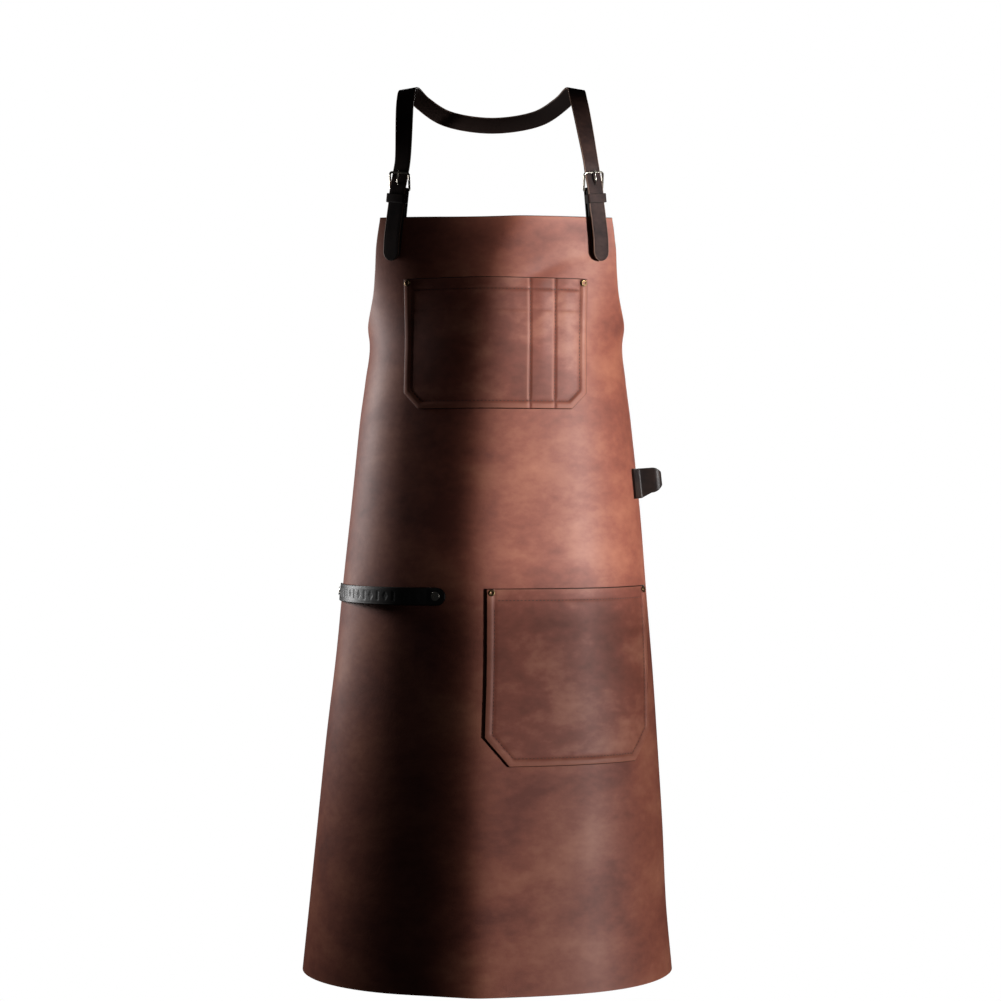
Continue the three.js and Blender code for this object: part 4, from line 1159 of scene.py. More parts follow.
@dataclass
class PatchPocket:
    """A patch pocket with turned edges, sewn down on three sides, whose lower corners are cut off."""

    name: str
    node: str
    finishes: Finishes
    left: float
    top: float
    height: float
    corner_width: float
    corner_height: float
    seams: tuple[float, ...]
    gapes: tuple[float, ...]  # the mouths lie nearly closed, as worn empty
    width: float = 205
    border: float = 10
    mouth_hem: float = 13
    leather: float = 1.6
    lay_gap: float = 0.45
    seam_half: float = 2.2
    groove_in: float = 8.9
    groove_half: float = 1.5
    groove_depth: float = 1.0
    seam_depth: float = 1.2
    hem_groove: float = 0.8
    hem_groove_half: float = 1.3
    facing: float = 0  # the lower edge of a facing inside shows through the leather this far below the mouth
    facing_print: float = 0.3
    facing_half: float = 1.6
    gape_power: float = 1.5
    mouth_power: float = 1.4
    roll: float = 0.6  # the turned edge's roundness
    sunk: float = 0.5  # the field lies this much lower than the turned edge
    sunk_over: float = 1.6
    # painted highlight: the turned edge is painted paler than the field
    border_painted_highlight: float = 0.5
    edge_rub: float = 0.6
    edge_rub_mm: float = 2.4
    mouth_rub: float = 0.5
    mouth_rub_mm: float = 2.2
    # painted highlight: each seam's groove is painted paler along its left wall, where the light from the
    # right falls
    seam_painted_highlight: float = 0.9
    seam_painted_highlight_mm: float = 1.7
    # painted shade: the leather is painted darker in the grooves of the turned edge, the mouth hem, the
    # facing's line and the seams
    groove_painted_shade: float = 1.1
    bevel: float = 1.0
    grid_mm: float = 1.4

    def inset(self, down: float) -> float:
        """Gives how far the cut-off corners draw the sides in at a distance below the mouth."""
        return self.corner_width * max(down - (self.height - self.corner_height), 0) / self.corner_height

    def corner_distance(self, from_side: float, down: float) -> float:
        """Gives the distance from a cut-off corner.

        Args:
            from_side: Distance from the pocket's side.
            down: Distance below its mouth.

        Returns:
            The distance, + inside the pocket.
        """
        slant = math.hypot(self.corner_width, self.corner_height)
        inside = from_side * self.corner_height + (self.height - down) * self.corner_width
        return (inside - self.corner_width * self.corner_height) / slant

    def edge_distance(self, arc: float, down: float) -> float:
        """Gives the distance from the nearest sewn edge."""
        from_left, from_right = arc - self.left, self.left + self.width - arc
        return min(
            from_left, from_right, self.height - down,
            self.corner_distance(from_left, down), self.corner_distance(from_right, down),
        )

    def opening(self, arc: float, down: float) -> float:
        """Gives how far a compartment stands open at a place."""
        field_end = self.height - self.border
        inset = self.inset(down)
        bounds = [self.left + inset + self.border, *self.seams, self.left + self.width - inset - self.border]
        for k, gape in enumerate(self.gapes):
            low = bounds[k] + (1 if k == 0 else self.seam_half)
            high = bounds[k + 1] - (1 if k == len(self.gapes) - 1 else self.seam_half)
            if low < arc < high:
                mouth = math.sin(math.pi * (arc - low) / (high - low)) ** self.mouth_power
                return gape * mouth * (1 - min(max(down, 0) / field_end, 1) ** self.gape_power)
        return 0.0

    def faces(self, arc: float, down: float) -> tuple[float, float, float]:
        """Gives where the pocket's leather lies at a place.

        Args:
            arc: Along the leather from the apron's centre line.
            down: Below the pocket's mouth.

        Returns:
            The outer and inner faces above the panel's inner face, and its tone: wear near the edges and the
            mouth, painted highlights beside the seams and on the turned edge, painted shade in the grooves.
        """
        edge = self.edge_distance(arc, down)
        opening = self.opening(arc, down)
        into_field = ease((edge - self.border) / self.sunk_over + 0.5)
        outer = WORN.leather + self.lay_gap + 2 * self.leather + opening - self.sunk * into_field
        outer += self.roll * math.sin(math.pi * min(max(edge, 0) / self.groove_in, 1))
        inner = WORN.leather + self.lay_gap + (self.leather + opening) * into_field
        groove = self.groove_depth * bell(edge - self.groove_in, self.groove_half)
        if down > self.groove_in:
            hem = self.hem_groove * bell(down - self.mouth_hem, self.hem_groove_half)
            groove = max(groove, hem * into_field)
        if self.facing:
            groove += self.facing_print * bell(down - self.facing, self.facing_half) * into_field
        wear_and_painted_light = self.edge_rub * math.exp(-max(edge, 0) / self.edge_rub_mm)
        wear_and_painted_light += self.mouth_rub * math.exp(-max(down, 0) / self.mouth_rub_mm)
        # painted highlight on the turned edge
        wear_and_painted_light += self.border_painted_highlight * (1 - into_field)
        for seam in self.seams:
            groove = max(groove, self.seam_depth * (1 - ease(abs(arc - seam) / self.seam_half)))
            # painted highlight along the left wall of the seam's groove
            wear_and_painted_light += self.seam_painted_highlight * bell(arc - seam + self.seam_half, self.seam_painted_highlight_mm)
        # painted shade: darker where the leather lies in a groove
        return outer - groove, inner, min(wear_and_painted_light, 1.0) - self.groove_painted_shade * min(groove, 1.0)

    def stitch_paths(self) -> list[list[tuple[float, float]]]:
        """Gives the seams' paths, as arcs and drops."""
        d, right = self.groove_in, self.left + self.width
        slant = math.hypot(self.corner_width, self.corner_height)
        block = self.corner_width * self.corner_height
        bend = self.height - (d * slant + block - d * self.corner_height) / self.corner_width
        foot = (d * slant + block - d * self.corner_width) / self.corner_height
        low = self.height - d
        around = [
            (self.left + d, 2.5 * d), (self.left + d, bend), (self.left + foot, low),
            (right - foot, low), (right - d, bend), (right - d, 2.5 * d),
        ]
        paths = [around, [(self.left + d + 3, self.mouth_hem), (right - d - 3, self.mouth_hem)]]
        paths += [[(seam, 2), (seam, low)] for seam in self.seams]
        return [[(arc, self.top + down) for arc, down in path] for path in paths]

    def build(self) -> bpy.types.Object:
        """Builds the pocket and its stitches.

        Returns:
            The pocket.
        """
        rows = steps(0, self.height, round(self.height / self.grid_mm))
        count = round(self.width / self.grid_mm)
        outer, inner, flats, worn = [], [], [], []
        for down in rows:
            inset = self.inset(down)
            arcs = steps(self.left + inset, self.left + self.width - inset, count)
            found = [self.faces(arc, down) for arc in arcs]
            outer.append([WORN.skin(arc, self.top + down, face[0]) for arc, face in zip(arcs, found)])
            inner.append([WORN.skin(arc, self.top + down, face[1]) for arc, face in zip(arcs, found)])
            flats.append([(arc, down) for arc in arcs])
            worn.append([face[2] for face in found])
        draft = leather_sheet(outer, inner, flats, worn, self.bevel)
        pocket = fasten(draft.write(self.name, self.finishes.pocket, sharp=60), Slot.POCKET, self.node)
        thread = Draft()
        for path in self.stitch_paths():
            StitchRow().add(thread, path, lambda arc, drop: self.faces(arc, drop - self.top)[0])
        fasten(thread.write(f"{self.name}_stitches", [self.finishes.thread]), Slot.STRAP)
        return pocket


@dataclass
class Rivet:
    """A two-part tubular rivet: a domed ring with a sunk middle, and a plain cap on the back."""

    name: str
    node: str
    stack: float
    place: Matrix
    material: bpy.types.Material
    slot: Slot = Slot.RIVET
    cap: float = 3.8
    back_gap: float = 1.1
    gap: float = 0.3
    cap_height: float = 1.1
    shaft: float = 1.5
    dish: float = 0.46  # radius of the sunk middle, share of the cap's
    sides: int = 40

    def build(self) -> bpy.types.Object:
        """Builds the rivet.

        Returns:
            The rivet.
        """
        head = -self.stack - self.gap
        top = head - self.cap_height
        cap, dish = self.cap, self.dish * self.cap
        profile = [
            (0, self.back_gap + self.cap_height),
            (0.85 * cap, self.back_gap + self.cap_height), (cap, self.back_gap + 0.6 * self.cap_height),
            (cap, self.back_gap), (self.shaft, self.back_gap), (self.shaft, head),
            (0.96 * cap, head), (cap, head - 0.15), (cap, head - 0.4), (0.93 * cap, head - 0.75),
            (0.8 * cap, top + 0.05), (0.7 * cap, top - 0.02), (dish + 0.25, top + 0.04), (dish, top + 0.2),
            (0.92 * dish, top + 0.75), (0.6 * dish, top + 0.95), (0, top + 0.98),
        ]
        draft = lathe_mesh(profile, self.sides, self.place)
        return fasten(draft.write(self.name, [self.material], sharp=40), self.slot, self.node)


def band_stations(
    start: float,
    end: float,
    drop: float,
    width: float,
    thickness: float,
    lift: Callable[[float], float],
    rounded: tuple[bool, bool],
    spacing: float,
) -> list[Station]:
    """Lays a band on the worn shape.

    Args:
        start: The arc of its first end.
        end: The arc of its other end.
        drop: The drop of its middle.
        width: Its width.
        thickness: Its thickness.
        lift: How far its inner face stands off the panel's outer face, by share of its length.
        rounded: Whether its first and its other end are rounded.
        spacing: The distance between sections.

    Returns:
        Its stations.
    """
    length, way = abs(end - start), math.copysign(1, end - start)
    stations = []
    for place in strap_places(length, spacing, *rounded):
        near = min(place if rounded[0] else length, length - place if rounded[1] else length)
        half, thick = end_section(near, width, thickness)
        arc = start + way * place
        middle = WORN.leather + lift(place / length) + thickness / 2
        centre = WORN.skin(arc, drop, middle)
        up = (WORN.skin(arc, drop - 5, middle) - WORN.skin(arc, drop + 5, middle)).normalized()
        ahead = WORN.skin(arc + 0.5, drop, middle) - WORN.skin(arc - 0.5, drop, middle)
        face = ahead.cross(up).normalized()
        stations.append(Station(centre, up, face, half, thick, place))
    return stations


@dataclass
class TowelStrap:
    """The dark band across the left hip, studded at both ends, with a row of plain pressed marks."""

    finishes: Finishes
    drop: float = 416
    width: float = 20
    end: float = -52
    length: float = 192
    thickness: float = 2.2
    bow: float = 7.5
    bow_at: float = 0.3
    bow_power: float = 1.6
    stud_in: float = 10.5
    stud_cap: float = 5
    lay_gap: float = 0.45
    mark_pitch: float = 9.6
    mark_half_height: float = 5.8
    mark_half_width: float = 3.4
    mark_depth: float = 0.32
    mark_clear: float = 2.2  # the row starts this many times the stud's inset from each end
    mark_wall: float = 0.25
    bar_share: float = 0.45
    line_in: float = 1.9  # creased lines along both edges
    line_depth: float = 0.12
    line_half: float = 0.45
    strips: int = 26
    spacing: float = 0.9

    def lift(self, share: float) -> float:
        """Gives how far the band stands off the panel at a share of its length."""
        held = 2 * self.stud_in / self.length
        free = min(max((share - held) / (1 - 2 * held), 0), 1)
        swing = math.pi * free ** (math.log(0.5) / math.log(self.bow_at))
        return self.lay_gap + self.bow * max(math.sin(swing), 0) ** self.bow_power

    def relief(self, run: float, aside: float) -> float:
        """Gives how deep the band is pressed in.

        Args:
            run: Along the band from its front end.
            aside: Across it from its middle.

        Returns:
            The depth of the edge lines and of the marks, which are lozenges and bars by turns.
        """
        depth = self.line_depth * bell(self.width / 2 - self.line_in - abs(aside), self.line_half)
        clear = self.mark_clear * self.stud_in
        if clear < run < self.length - clear:
            number, into = divmod(run - clear, self.mark_pitch)
            along = abs(into - self.mark_pitch / 2) / self.mark_half_width
            up = abs(aside) / self.mark_half_height
            near = max(along / self.bar_share, up) if int(number) % 2 else along + up
            depth = max(depth, self.mark_depth * ease((1 - near) / self.mark_wall))
        return depth

    def build(self) -> None:
        """Builds the band and its two studs."""
        stations = band_stations(self.end, self.end - self.length, self.drop, self.width, self.thickness,
                                 self.lift, (True, True), self.spacing)
        draft = strap_mesh(stations, self.strips, self.relief)
        fasten(draft.write("towel_band", self.finishes.band), Slot.STRAP, "towel_strap")
        stack = WORN.leather + self.lay_gap + self.thickness
        arcs = {"front": self.end - self.stud_in, "side": self.end - self.length + self.stud_in}
        for word, arc in arcs.items():
            Rivet(f"band_stud_{word}", f"towel_stud_{word}", stack, WORN.frame_on(arc, self.drop, 0),
                  self.finishes.nickel, Slot.BUCKLE, self.stud_cap, dish=0.34).build()


@dataclass
class SideLoop:
    """The folded tab that stands out at the right waist."""

    finishes: Finishes
    drop: float = 276
    height: float = 34
    end_height: float = 29
    neck: float = 12  # the tab narrows over this distance from the panel
    top_fall: float = 0.5
    arc: float = 208
    out: float = 27
    half: float = 6.2
    foot: float = 17
    bend: float = 4
    upper_corner: float = 10
    lower_corner: float = 12
    thickness: float = 2.2
    lay_gap: float = 0.45
    strips: int = 24

    def path(self, place: Matrix) -> list[Vector]:
        """Gives the strap's path in the loop's frame, as x along the arc and y outwards.

        Args:
            place: The loop's frame.

        Returns:
            The path's points.
        """
        rest = self.lay_gap + self.thickness / 2
        undo = place.inverted()

        def foot_point(side: int, x: float) -> Vector:
            """Finds a point of a foot, which follows the bent panel."""
            fall = (undo @ WORN.skin(self.arc + side * x, self.drop, WORN.leather)).y
            return Vector((side * x, rest - fall, 0))

        def leg(side: int) -> list[Vector]:
            """Gives a foot and its bend, from the foot's end to the standing leg."""
            inside = self.half + self.bend
            feet = [foot_point(side, x) for x in steps(inside + self.foot, inside, 8)]
            turn = [
                Vector((side * (inside - self.bend * math.sin(a)),
                        rest + self.bend * (1 - math.cos(a)), 0))
                for a in steps(0, math.pi / 2, 8)
            ]
            return feet[:-1] + turn

        crown = self.out - self.half
        top = [
            Vector((-self.half * math.cos(a), crown + self.half * math.sin(a), 0))
            for a in steps(0, math.pi, 16)
        ]
        rise = [Vector((-self.half, y, 0)) for y in steps(rest + self.bend, crown, 8)[1:-1]]
        fall = [Vector((self.half, y, 0)) for y in reversed(steps(rest + self.bend, crown, 8)[1:-1])]
        return leg(-1) + rise + top + fall + list(reversed(leg(1)))

    def cut_back(self, out: float, radius: float) -> float:
        """Gives how far a rounded corner of the tab's end is cut back at a distance out."""
        into = min(max(out - (self.out + self.thickness / 2 - radius), 0), radius)
        return radius - math.sqrt(radius ** 2 - into ** 2)

    def levels(self, out: float) -> tuple[float, float]:
        """Gives the tab's upper and lower edge at a distance out from the panel."""
        start = self.lay_gap * 2 + self.thickness
        share = min(max((out - start) / self.neck, 0), 1)
        top = -self.top_fall * share - self.cut_back(out, self.upper_corner)
        low = -(self.height + share * (self.end_height - self.height))
        return top, low + self.cut_back(out, self.lower_corner)

    def build(self) -> None:
        """Builds the tab and the rivet of its rear foot."""
        place = WORN.frame_on(self.arc, self.drop, WORN.leather)
        turn = place.to_3x3()
        path = self.path(place)
        stations, run = [], 0.0
        for i, point in enumerate(path):
            before, after = neighbours(path, i)
            run += (point - path[i - 1]).length if i else 0
            way = (after - before).normalized()
            top, low = self.levels(point.y)
            centre = place @ Vector((point.x, -point.y, (top + low) / 2))
            face = (turn @ Vector((-way.y, -way.x, 0))).normalized()
            half = (top - low) / 2
            stations.append(Station(centre, turn @ Vector((0, 0, 1)), face, half, self.thickness, run))
        draft = strap_mesh(stations, self.strips)
        fasten(draft.write("waist_tab", self.finishes.tab), Slot.STRAP, "side_loop")
        arc = self.arc + self.half + self.bend + self.foot / 2
        stack = WORN.leather + self.lay_gap + self.thickness
        Rivet("waist_tab_rivet", "side_loop_rivet", stack, WORN.frame_on(arc, self.drop + self.height / 2, 0),
              self.finishes.brass).build()


def rounded_loop(
    half_width: float, half_height: float, radius: float, per_corner: int
) -> list[tuple[float, float]]:
    """Gives a rounded rectangle's path about the origin."""
    points = []
    for k, (x, y) in enumerate(((1, 1), (-1, 1), (-1, -1), (1, -1))):
        for a in steps(k * math.pi / 2, (k + 1) * math.pi / 2, per_corner):
            points.append((x * (half_width - radius) + radius * math.cos(a),
                           y * (half_height - radius) + radius * math.sin(a)))
    return points


class Curve:
    """A smooth curve through points, centripetal or uniform."""

    def __init__(self, points: Sequence[Vector], centripetal: bool = True) -> None:
        """Keeps the points, with one more beyond each end."""
        first, last = 2 * points[0] - points[1], 2 * points[-1] - points[-2]
        self.points = [first, *points, last]
        self.centripetal = centripetal
        self.spans = len(points) - 1

    def at(self, t: float) -> Vector:
        """Gives the curve's point at a parameter from 0 to 1."""
        place = min(t, 1) * self.spans
        k = min(int(place), self.spans - 1)
        u = place - k
        p0, p1, p2, p3 = self.points[k:k + 4]
        if self.centripetal:
            d0, d1, d2 = (max((b - a).length ** 0.5, 1e-4) for a, b in ((p0, p1), (p1, p2), (p2, p3)))
            t1 = ((p1 - p0) / d0 - (p2 - p0) / (d0 + d1) + (p2 - p1) / d1) * d1
            t2 = ((p2 - p1) / d1 - (p3 - p1) / (d1 + d2) + (p3 - p2) / d2) * d1
        else:
            t1, t2 = (p2 - p0) / 2, (p3 - p1) / 2
        c2 = 3 * (p2 - p1) - 2 * t1 - t2
        c3 = 2 * (p1 - p2) + t1 + t2
        return p1 + t1 * u + c2 * u * u + c3 * u ** 3

    def measured(self, count: int) -> tuple[list[float], list[float]]:
        """Gives parameters along the curve and the length that each is at."""
        params = steps(0, 1, count)
        lengths = [0.0]
        before = self.at(0)
        for t in params[1:]:
            here = self.at(t)
            lengths.append(lengths[-1] + (here - before).length)
            before = here
        return params, lengths


@dataclass
class NeckGear:
    """The neck strap with its buckles, prongs, keepers and the short straps that hold them on the bib."""

    finishes: Finishes
    width: float = 20
    thickness: float = 2.2
    inset: float = 22
    upright: float = 0.052
    chape_down: float = 48
    chape_back_down: float = 24
    tip_down: float = 49
    tip_stand: float = 6
    tip_end_stand: float = 4.8
    tip_inward: float = 1
    ridge_half: float = 98
    neck_rise: float = 158
    nape_reach: float = 178
    nape_rise: float = 130
    settle: float = 14
    wire: float = 1.3
    heel_rise: float = 29
    buckle_height: float = 20
    buckle_slack: float = 0.9
    buckle_corner: float = 3
    top_bar_out: float = 4.2
    prong: float = 1
    keeper_rise: float = 20
    keeper_height: float = 10
    keeper_wall: float = 1.5
    keeper_slack: float = 0.7
    keeper_corner: float = 2
    keeper_depth: float = 6.2
    gap: float = 0.3
    chape_gap: float = 0.8
    crease_in: float = 1.9  # a creased line along the strap's edges
    crease_depth: float = 0.16
    crease_half: float = 0.4

    def __post_init__(self) -> None:
        """Works out the places that follow, out from the panel's face and up from the bib's edge."""
        self.front = self.chape_gap + self.thickness / 2
        self.back = -WORN.leather - self.chape_gap - self.gap - self.thickness / 2
        self.fold = self.wire + self.gap + self.thickness / 2
        self.heel_out = self.front - self.fold
        self.over_heel = self.front + self.thickness + self.gap
        lean = self.top_bar_out - self.heel_out
        self.top_rise = self.heel_rise + math.sqrt(self.buckle_height ** 2 - lean ** 2)
        self.under_top = self.top_bar_out - self.wire - self.gap - self.thickness / 2
        self.frames = {side: self.strap_frame(side.value) for side in Side}

    def strap_frame(self, side: int) -> Matrix:
        """Makes the frame of a strap's end: z up along the strap, y into the body, x to the viewer's right.

        Args:
            side: -1 or 1.

        Returns:
            The matrix from the frame to the apron's.
        """
        def arc_at(drop: float) -> float:
            """Gives the arc of the strap's centre line at a drop."""
            return side * (WORN.cut_edge(drop) - self.inset - self.upright * drop)

        top = arc_at(0)
        origin = WORN.skin(top, 0, WORN.leather)
        origin.z = WORN.lift(top)
        low = WORN.skin(arc_at(self.chape_down), self.chape_down, WORN.leather)
        up = (origin - low).normalized()
        middle = self.chape_down / 2
        arc = arc_at(middle)
        across = WORN.skin(arc + 1, middle, WORN.leather) - WORN.skin(arc - 1, middle, WORN.leather)
        across = across.normalized()
        across = (across - up * across.dot(up)).normalized()
        return frame_from(origin, across, up)

    def edge_lines(self, run: float, aside: float) -> float:
        """Gives the depth of the creased lines along the strap's edges."""
        return self.crease_depth * bell(self.width / 2 - self.crease_in - abs(aside), self.crease_half)

    def neck_curves(self) -> tuple[Curve, Curve]:
        """Gives the neck strap's path and the way its outer face looks, from tip to tip."""
        nape = Vector((0, self.nape_reach, self.nape_rise))
        nape_face = Vector((0, 0.85, 0.53)).normalized()
        points: list[Vector] = []
        faces: list[Vector] = []
        for side in Side:
            place, s = self.frames[side], side.value
            outward = (place.to_3x3() @ Vector((0, -1, 0))).normalized()
            levels = [
                (-self.tip_inward, self.tip_end_stand, -self.tip_down),
                (0, self.tip_stand, -self.tip_down / 2),
                (0, (self.tip_stand + self.over_heel) / 2, 0),
                (0, self.over_heel, self.keeper_rise - self.keeper_height / 2),
                (0, self.over_heel, self.heel_rise),
                (0, (self.over_heel + self.under_top) / 2, (self.heel_rise + self.top_rise) / 2),
                (0, self.under_top, self.top_rise),
                (0, 0, self.top_rise + self.settle),
            ]
            half = [(place @ Vector((s * aside, -out, rise)), outward) for aside, out, rise in levels]
            for row in SHOULDERS:
                x, y, z = s * row.side * self.ridge_half, row.back * self.nape_reach, row.up * self.neck_rise
                looks = Vector((s * row.face[0], row.face[1], row.face[2])).normalized()
                half.append((Vector((x, y, z)), looks))
            ordered = half if side is Side.LEFT else [(nape, nape_face), *reversed(half)]
            points += [pair[0] for pair in ordered]
            faces += [pair[1] for pair in ordered]
        return Curve(points), Curve(faces, centripetal=False)

    def build_neck_strap(self) -> None:
        """Builds the one long strap over both shoulders and round the nape."""
        path, looks = self.neck_curves()
        params, lengths = path.measured(1400)
        total = lengths[-1]
        stations, k = [], 0
        for place in strap_places(total, 2.5, True, True):
            while k < len(lengths) - 2 and lengths[k + 1] < place:
                k += 1
            share = (place - lengths[k]) / (lengths[k + 1] - lengths[k])
            t = params[k] + share * (params[k + 1] - params[k])
            way = (path.at(min(t + 1e-3, 1)) - path.at(max(t - 1e-3, 0))).normalized()
            face = looks.at(t)
            face = (face - way * face.dot(way)).normalized()
            half, thick = end_section(min(place, total - place), self.width, self.thickness)
            stations.append(Station(path.at(t), way.cross(face), face, half, thick, place))
        draft = strap_mesh(stations, 16, self.edge_lines)
        fasten(draft.write("shoulder_strap", self.finishes.strap), Slot.STRAP, "neck_strap")

    def build_buckle_strap(self, side: Side, word: str) -> None:
        """Builds the short strap that is folded round the heel bar."""
        place = self.frames[side]
        bar = (self.heel_out, self.heel_rise)
        path = [(self.front, rise) for rise in steps(-self.chape_down, self.heel_rise, 40)[:-1]]
        path += [
            (bar[0] + self.fold * math.cos(a), bar[1] + self.fold * math.sin(a)) for a in steps(0, math.pi, 16)
        ]
        behind = self.heel_out - self.fold
        path += [
            (
                behind + (self.back - behind) * ease(share),
                self.heel_rise - (self.chape_back_down + self.heel_rise) * share,
            )
            for share in steps(0, 1, 24)[1:]
        ]
        stations, run = [], 0.0
        turn = place.to_3x3()
        for i, (out, rise) in enumerate(path):
            before, after = neighbours(path, i)
            run += math.dist(path[i], path[i - 1]) if i else 0
            face = (turn @ Vector((0, before[1] - after[1], before[0] - after[0]))).normalized()
            half, thick = end_section(run, self.width, self.thickness)
            centre = place @ Vector((0, -out, rise))
            stations.append(Station(centre, turn @ Vector((1, 0, 0)), face, half, thick, run))
        draft = strap_mesh(stations, 14, self.edge_lines)
        made = draft.write(f"buckle_leather_{word}", self.finishes.keeper)
        fasten(made, Slot.STRAP, f"buckle_strap_{word}")

    def build_buckle(self, side: Side, word: str) -> None:
        """Builds the wire frame and its prong."""
        place = self.frames[side]
        rise, out = self.top_rise - self.heel_rise, self.top_bar_out - self.heel_out
        half = self.width / 2 + self.buckle_slack + self.wire
        loop = []
        for x, y in rounded_loop(half, self.buckle_height / 2, self.buckle_corner, 8):
            share = y / self.buckle_height + 0.5
            loop.append(place @ Vector((x, -(self.heel_out + share * out), self.heel_rise + share * rise)))
        draft = tube_mesh(loop, [self.wire] * len(loop), 16, True)
        made = draft.write(f"buckle_wire_{word}", [self.finishes.nickel], 70)
        fasten(made, Slot.BUCKLE, f"buckle_frame_{word}")
        eye = self.wire + self.gap + self.prong
        bend = self.over_heel + self.thickness / 2 + self.prong
        rest = self.top_bar_out + self.wire + self.gap + self.prong
        knots = [
            (self.heel_out - eye, self.heel_rise), (self.heel_out - 0.7 * eye, self.heel_rise - 0.75 * eye),
            (self.heel_out, self.heel_rise - eye), (self.heel_out + 0.75 * eye, self.heel_rise - 0.7 * eye),
            (self.heel_out + eye, self.heel_rise + 0.2 * eye),
            ((self.heel_out + bend) / 2 + 1, self.heel_rise + 0.3 * self.buckle_height),
            (bend + self.gap, self.heel_rise + 0.52 * self.buckle_height),
            (rest, self.top_rise - 3 * self.prong), (rest, self.top_rise + 2.6),
        ]
        pin = Curve([place @ Vector((0, -o, r)) for o, r in knots])
        shares = steps(0, 1, 44)
        radii = [self.prong * (1 if t < 0.9 else 1 - 4.5 * (t - 0.9)) for t in shares]
        draft = tube_mesh([pin.at(t) for t in shares], radii, 14, False)
        made = draft.write(f"buckle_pin_{word}", [self.finishes.nickel], 70)
        fasten(made, Slot.BUCKLE, f"buckle_prong_{word}")

    def build_keeper(self, side: Side, word: str) -> None:
        """Builds the leather loop that holds the free tip."""
        place = self.frames[side]
        turn = place.to_3x3()
        half_wide = self.width / 2 + self.keeper_slack + self.keeper_wall / 2
        half_deep = (self.keeper_depth + self.keeper_wall) / 2
        middle = self.front - self.thickness / 2 - self.gap + self.keeper_depth / 2
        path = rounded_loop(half_wide, half_deep, self.keeper_corner, 6)
        stations = []
        for i, (x, y) in enumerate(path):
            before, after = neighbours(path, i, closed=True)
            way = Vector((after[0] - before[0], after[1] - before[1], 0)).normalized()
            face = turn @ Vector((way.y, way.x, 0))
            centre, half = place @ Vector((x, -(middle + y), self.keeper_rise)), self.keeper_height / 2
            stations.append(Station(centre, turn @ Vector((0, 0, 1)), face, half, self.keeper_wall, i))
        draft = strap_mesh(stations, 10, closed=True)
        made = draft.write(f"keeper_loop_{word}", self.finishes.keeper, 70)
        fasten(made, Slot.STRAP, f"strap_keeper_{word}")

    def build(self) -> list[str]:
        """Builds everything round the neck.

        Returns:
            The pieces that the panel hangs from.
        """
        self.build_neck_strap()
        stack = self.front + self.thickness / 2 - (self.back - self.thickness / 2)
        inner = -(self.back - self.thickness / 2)
        held = []
        for side, word in ((Side.LEFT, "left"), (Side.RIGHT, "right")):
            self.build_buckle_strap(side, word)
            self.build_buckle(side, word)
            self.build_keeper(side, word)
            place = self.frames[side] @ Matrix.Translation((0, inner, -self.chape_back_down / 2))
            Rivet(f"chape_rivet_{word}", f"strap_rivet_{word}", stack, place, self.finishes.brass).build()
            held.append(f"buckle_leather_{word}")
        return held


@dataclass
class WaistBand:
    """The two plain bands behind the body and the clasp that joins them."""

    finishes: Finishes
    drop: float = 300
    width: float = 22
    thickness: float = 2.2
    lap: float = 28
    rivet_in: float = 14
    lay_gap: float = 0.45
    gap: float = 0.3

    def build(self) -> None:
        """Builds the bands and rivets, and gives the clasp its metal."""
        back = 2 * WORN.quarter_girth(self.drop)
        stack = WORN.leather + self.lay_gap + self.thickness
        for side, word in ((Side.LEFT, "left"), (Side.RIGHT, "right")):
            start, end = side.value * (WORN.ear_half_arc - self.lap), side.value * (back - self.gap)
            stations = band_stations(start, end, self.drop, self.width, self.thickness,
                                     lambda share: self.lay_gap, (True, False), 4)
            draft = strap_mesh(stations, 12)
            fasten(draft.write(f"waist_band_{word}", self.finishes.strap), Slot.STRAP, f"waist_strap_{word}")
            arc = side.value * (WORN.ear_half_arc - self.rivet_in)
            Rivet(f"waist_band_rivet_{word}", f"waist_rivet_{word}", stack, WORN.frame_on(arc, self.drop, 0),
                  self.finishes.brass).build()
        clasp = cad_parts["waist_clasp"]
        clasp.data.materials.clear()
        clasp.data.materials.append(self.finishes.nickel)
        round_off = clasp.modifiers.new("rounded_edges", "BEVEL")
        round_off.width, round_off.segments = 0.5 * MM, 3


class Softbox(NamedTuple):
    """A softbox: where it hangs and what it points at, its width and height in metres, and its light."""

    name: str
    place: Vector
    aim: Vector
    size: tuple[float, float]
    watts: float
    spread: float = 180  # how far its grid lets the light spread, in degrees
    roll: float = 0  # how far it is turned about its beam, in degrees


class KeyPart(NamedTuple):
    """One part of the key light, all in one line from the right."""

    name: str
    level: float
    height: float
    spread: float
    watts: float


KEY_PARTS = (
    KeyPart("key_strip", -0.55, 1.1, 5, 0.7),
    KeyPart("key_high", -0.3, 0.5, 9, 0.4),
    KeyPart("key_top", -0.09, 0.1, 6, 0.04),
)
SOFTBOXES = (
    Softbox("front_fill", Vector((0.6, -1.1, 0.0)), Vector((0, -0.12, -0.45)), (0.4, 0.4), 0.18),
    Softbox("rim_left", Vector((-0.856, 0.16, -0.2)), Vector((0, -0.1, -0.2)), (0.2, 0.4), 4.9),
    Softbox("rim_low", Vector((-0.79, 0.3, -0.5)), Vector((0, -0.1, -0.5)), (0.2, 0.4), 1.2),
    Softbox("back_soft", Vector((0.2, 1.5, -0.1)), Vector((0, 0, -0.5)), (0.8, 1.2), 18),
    Softbox("floor_wash", Vector((0, 0, -1.03)), Vector((0, 0, -1.45)), (3, 3), 26),
)


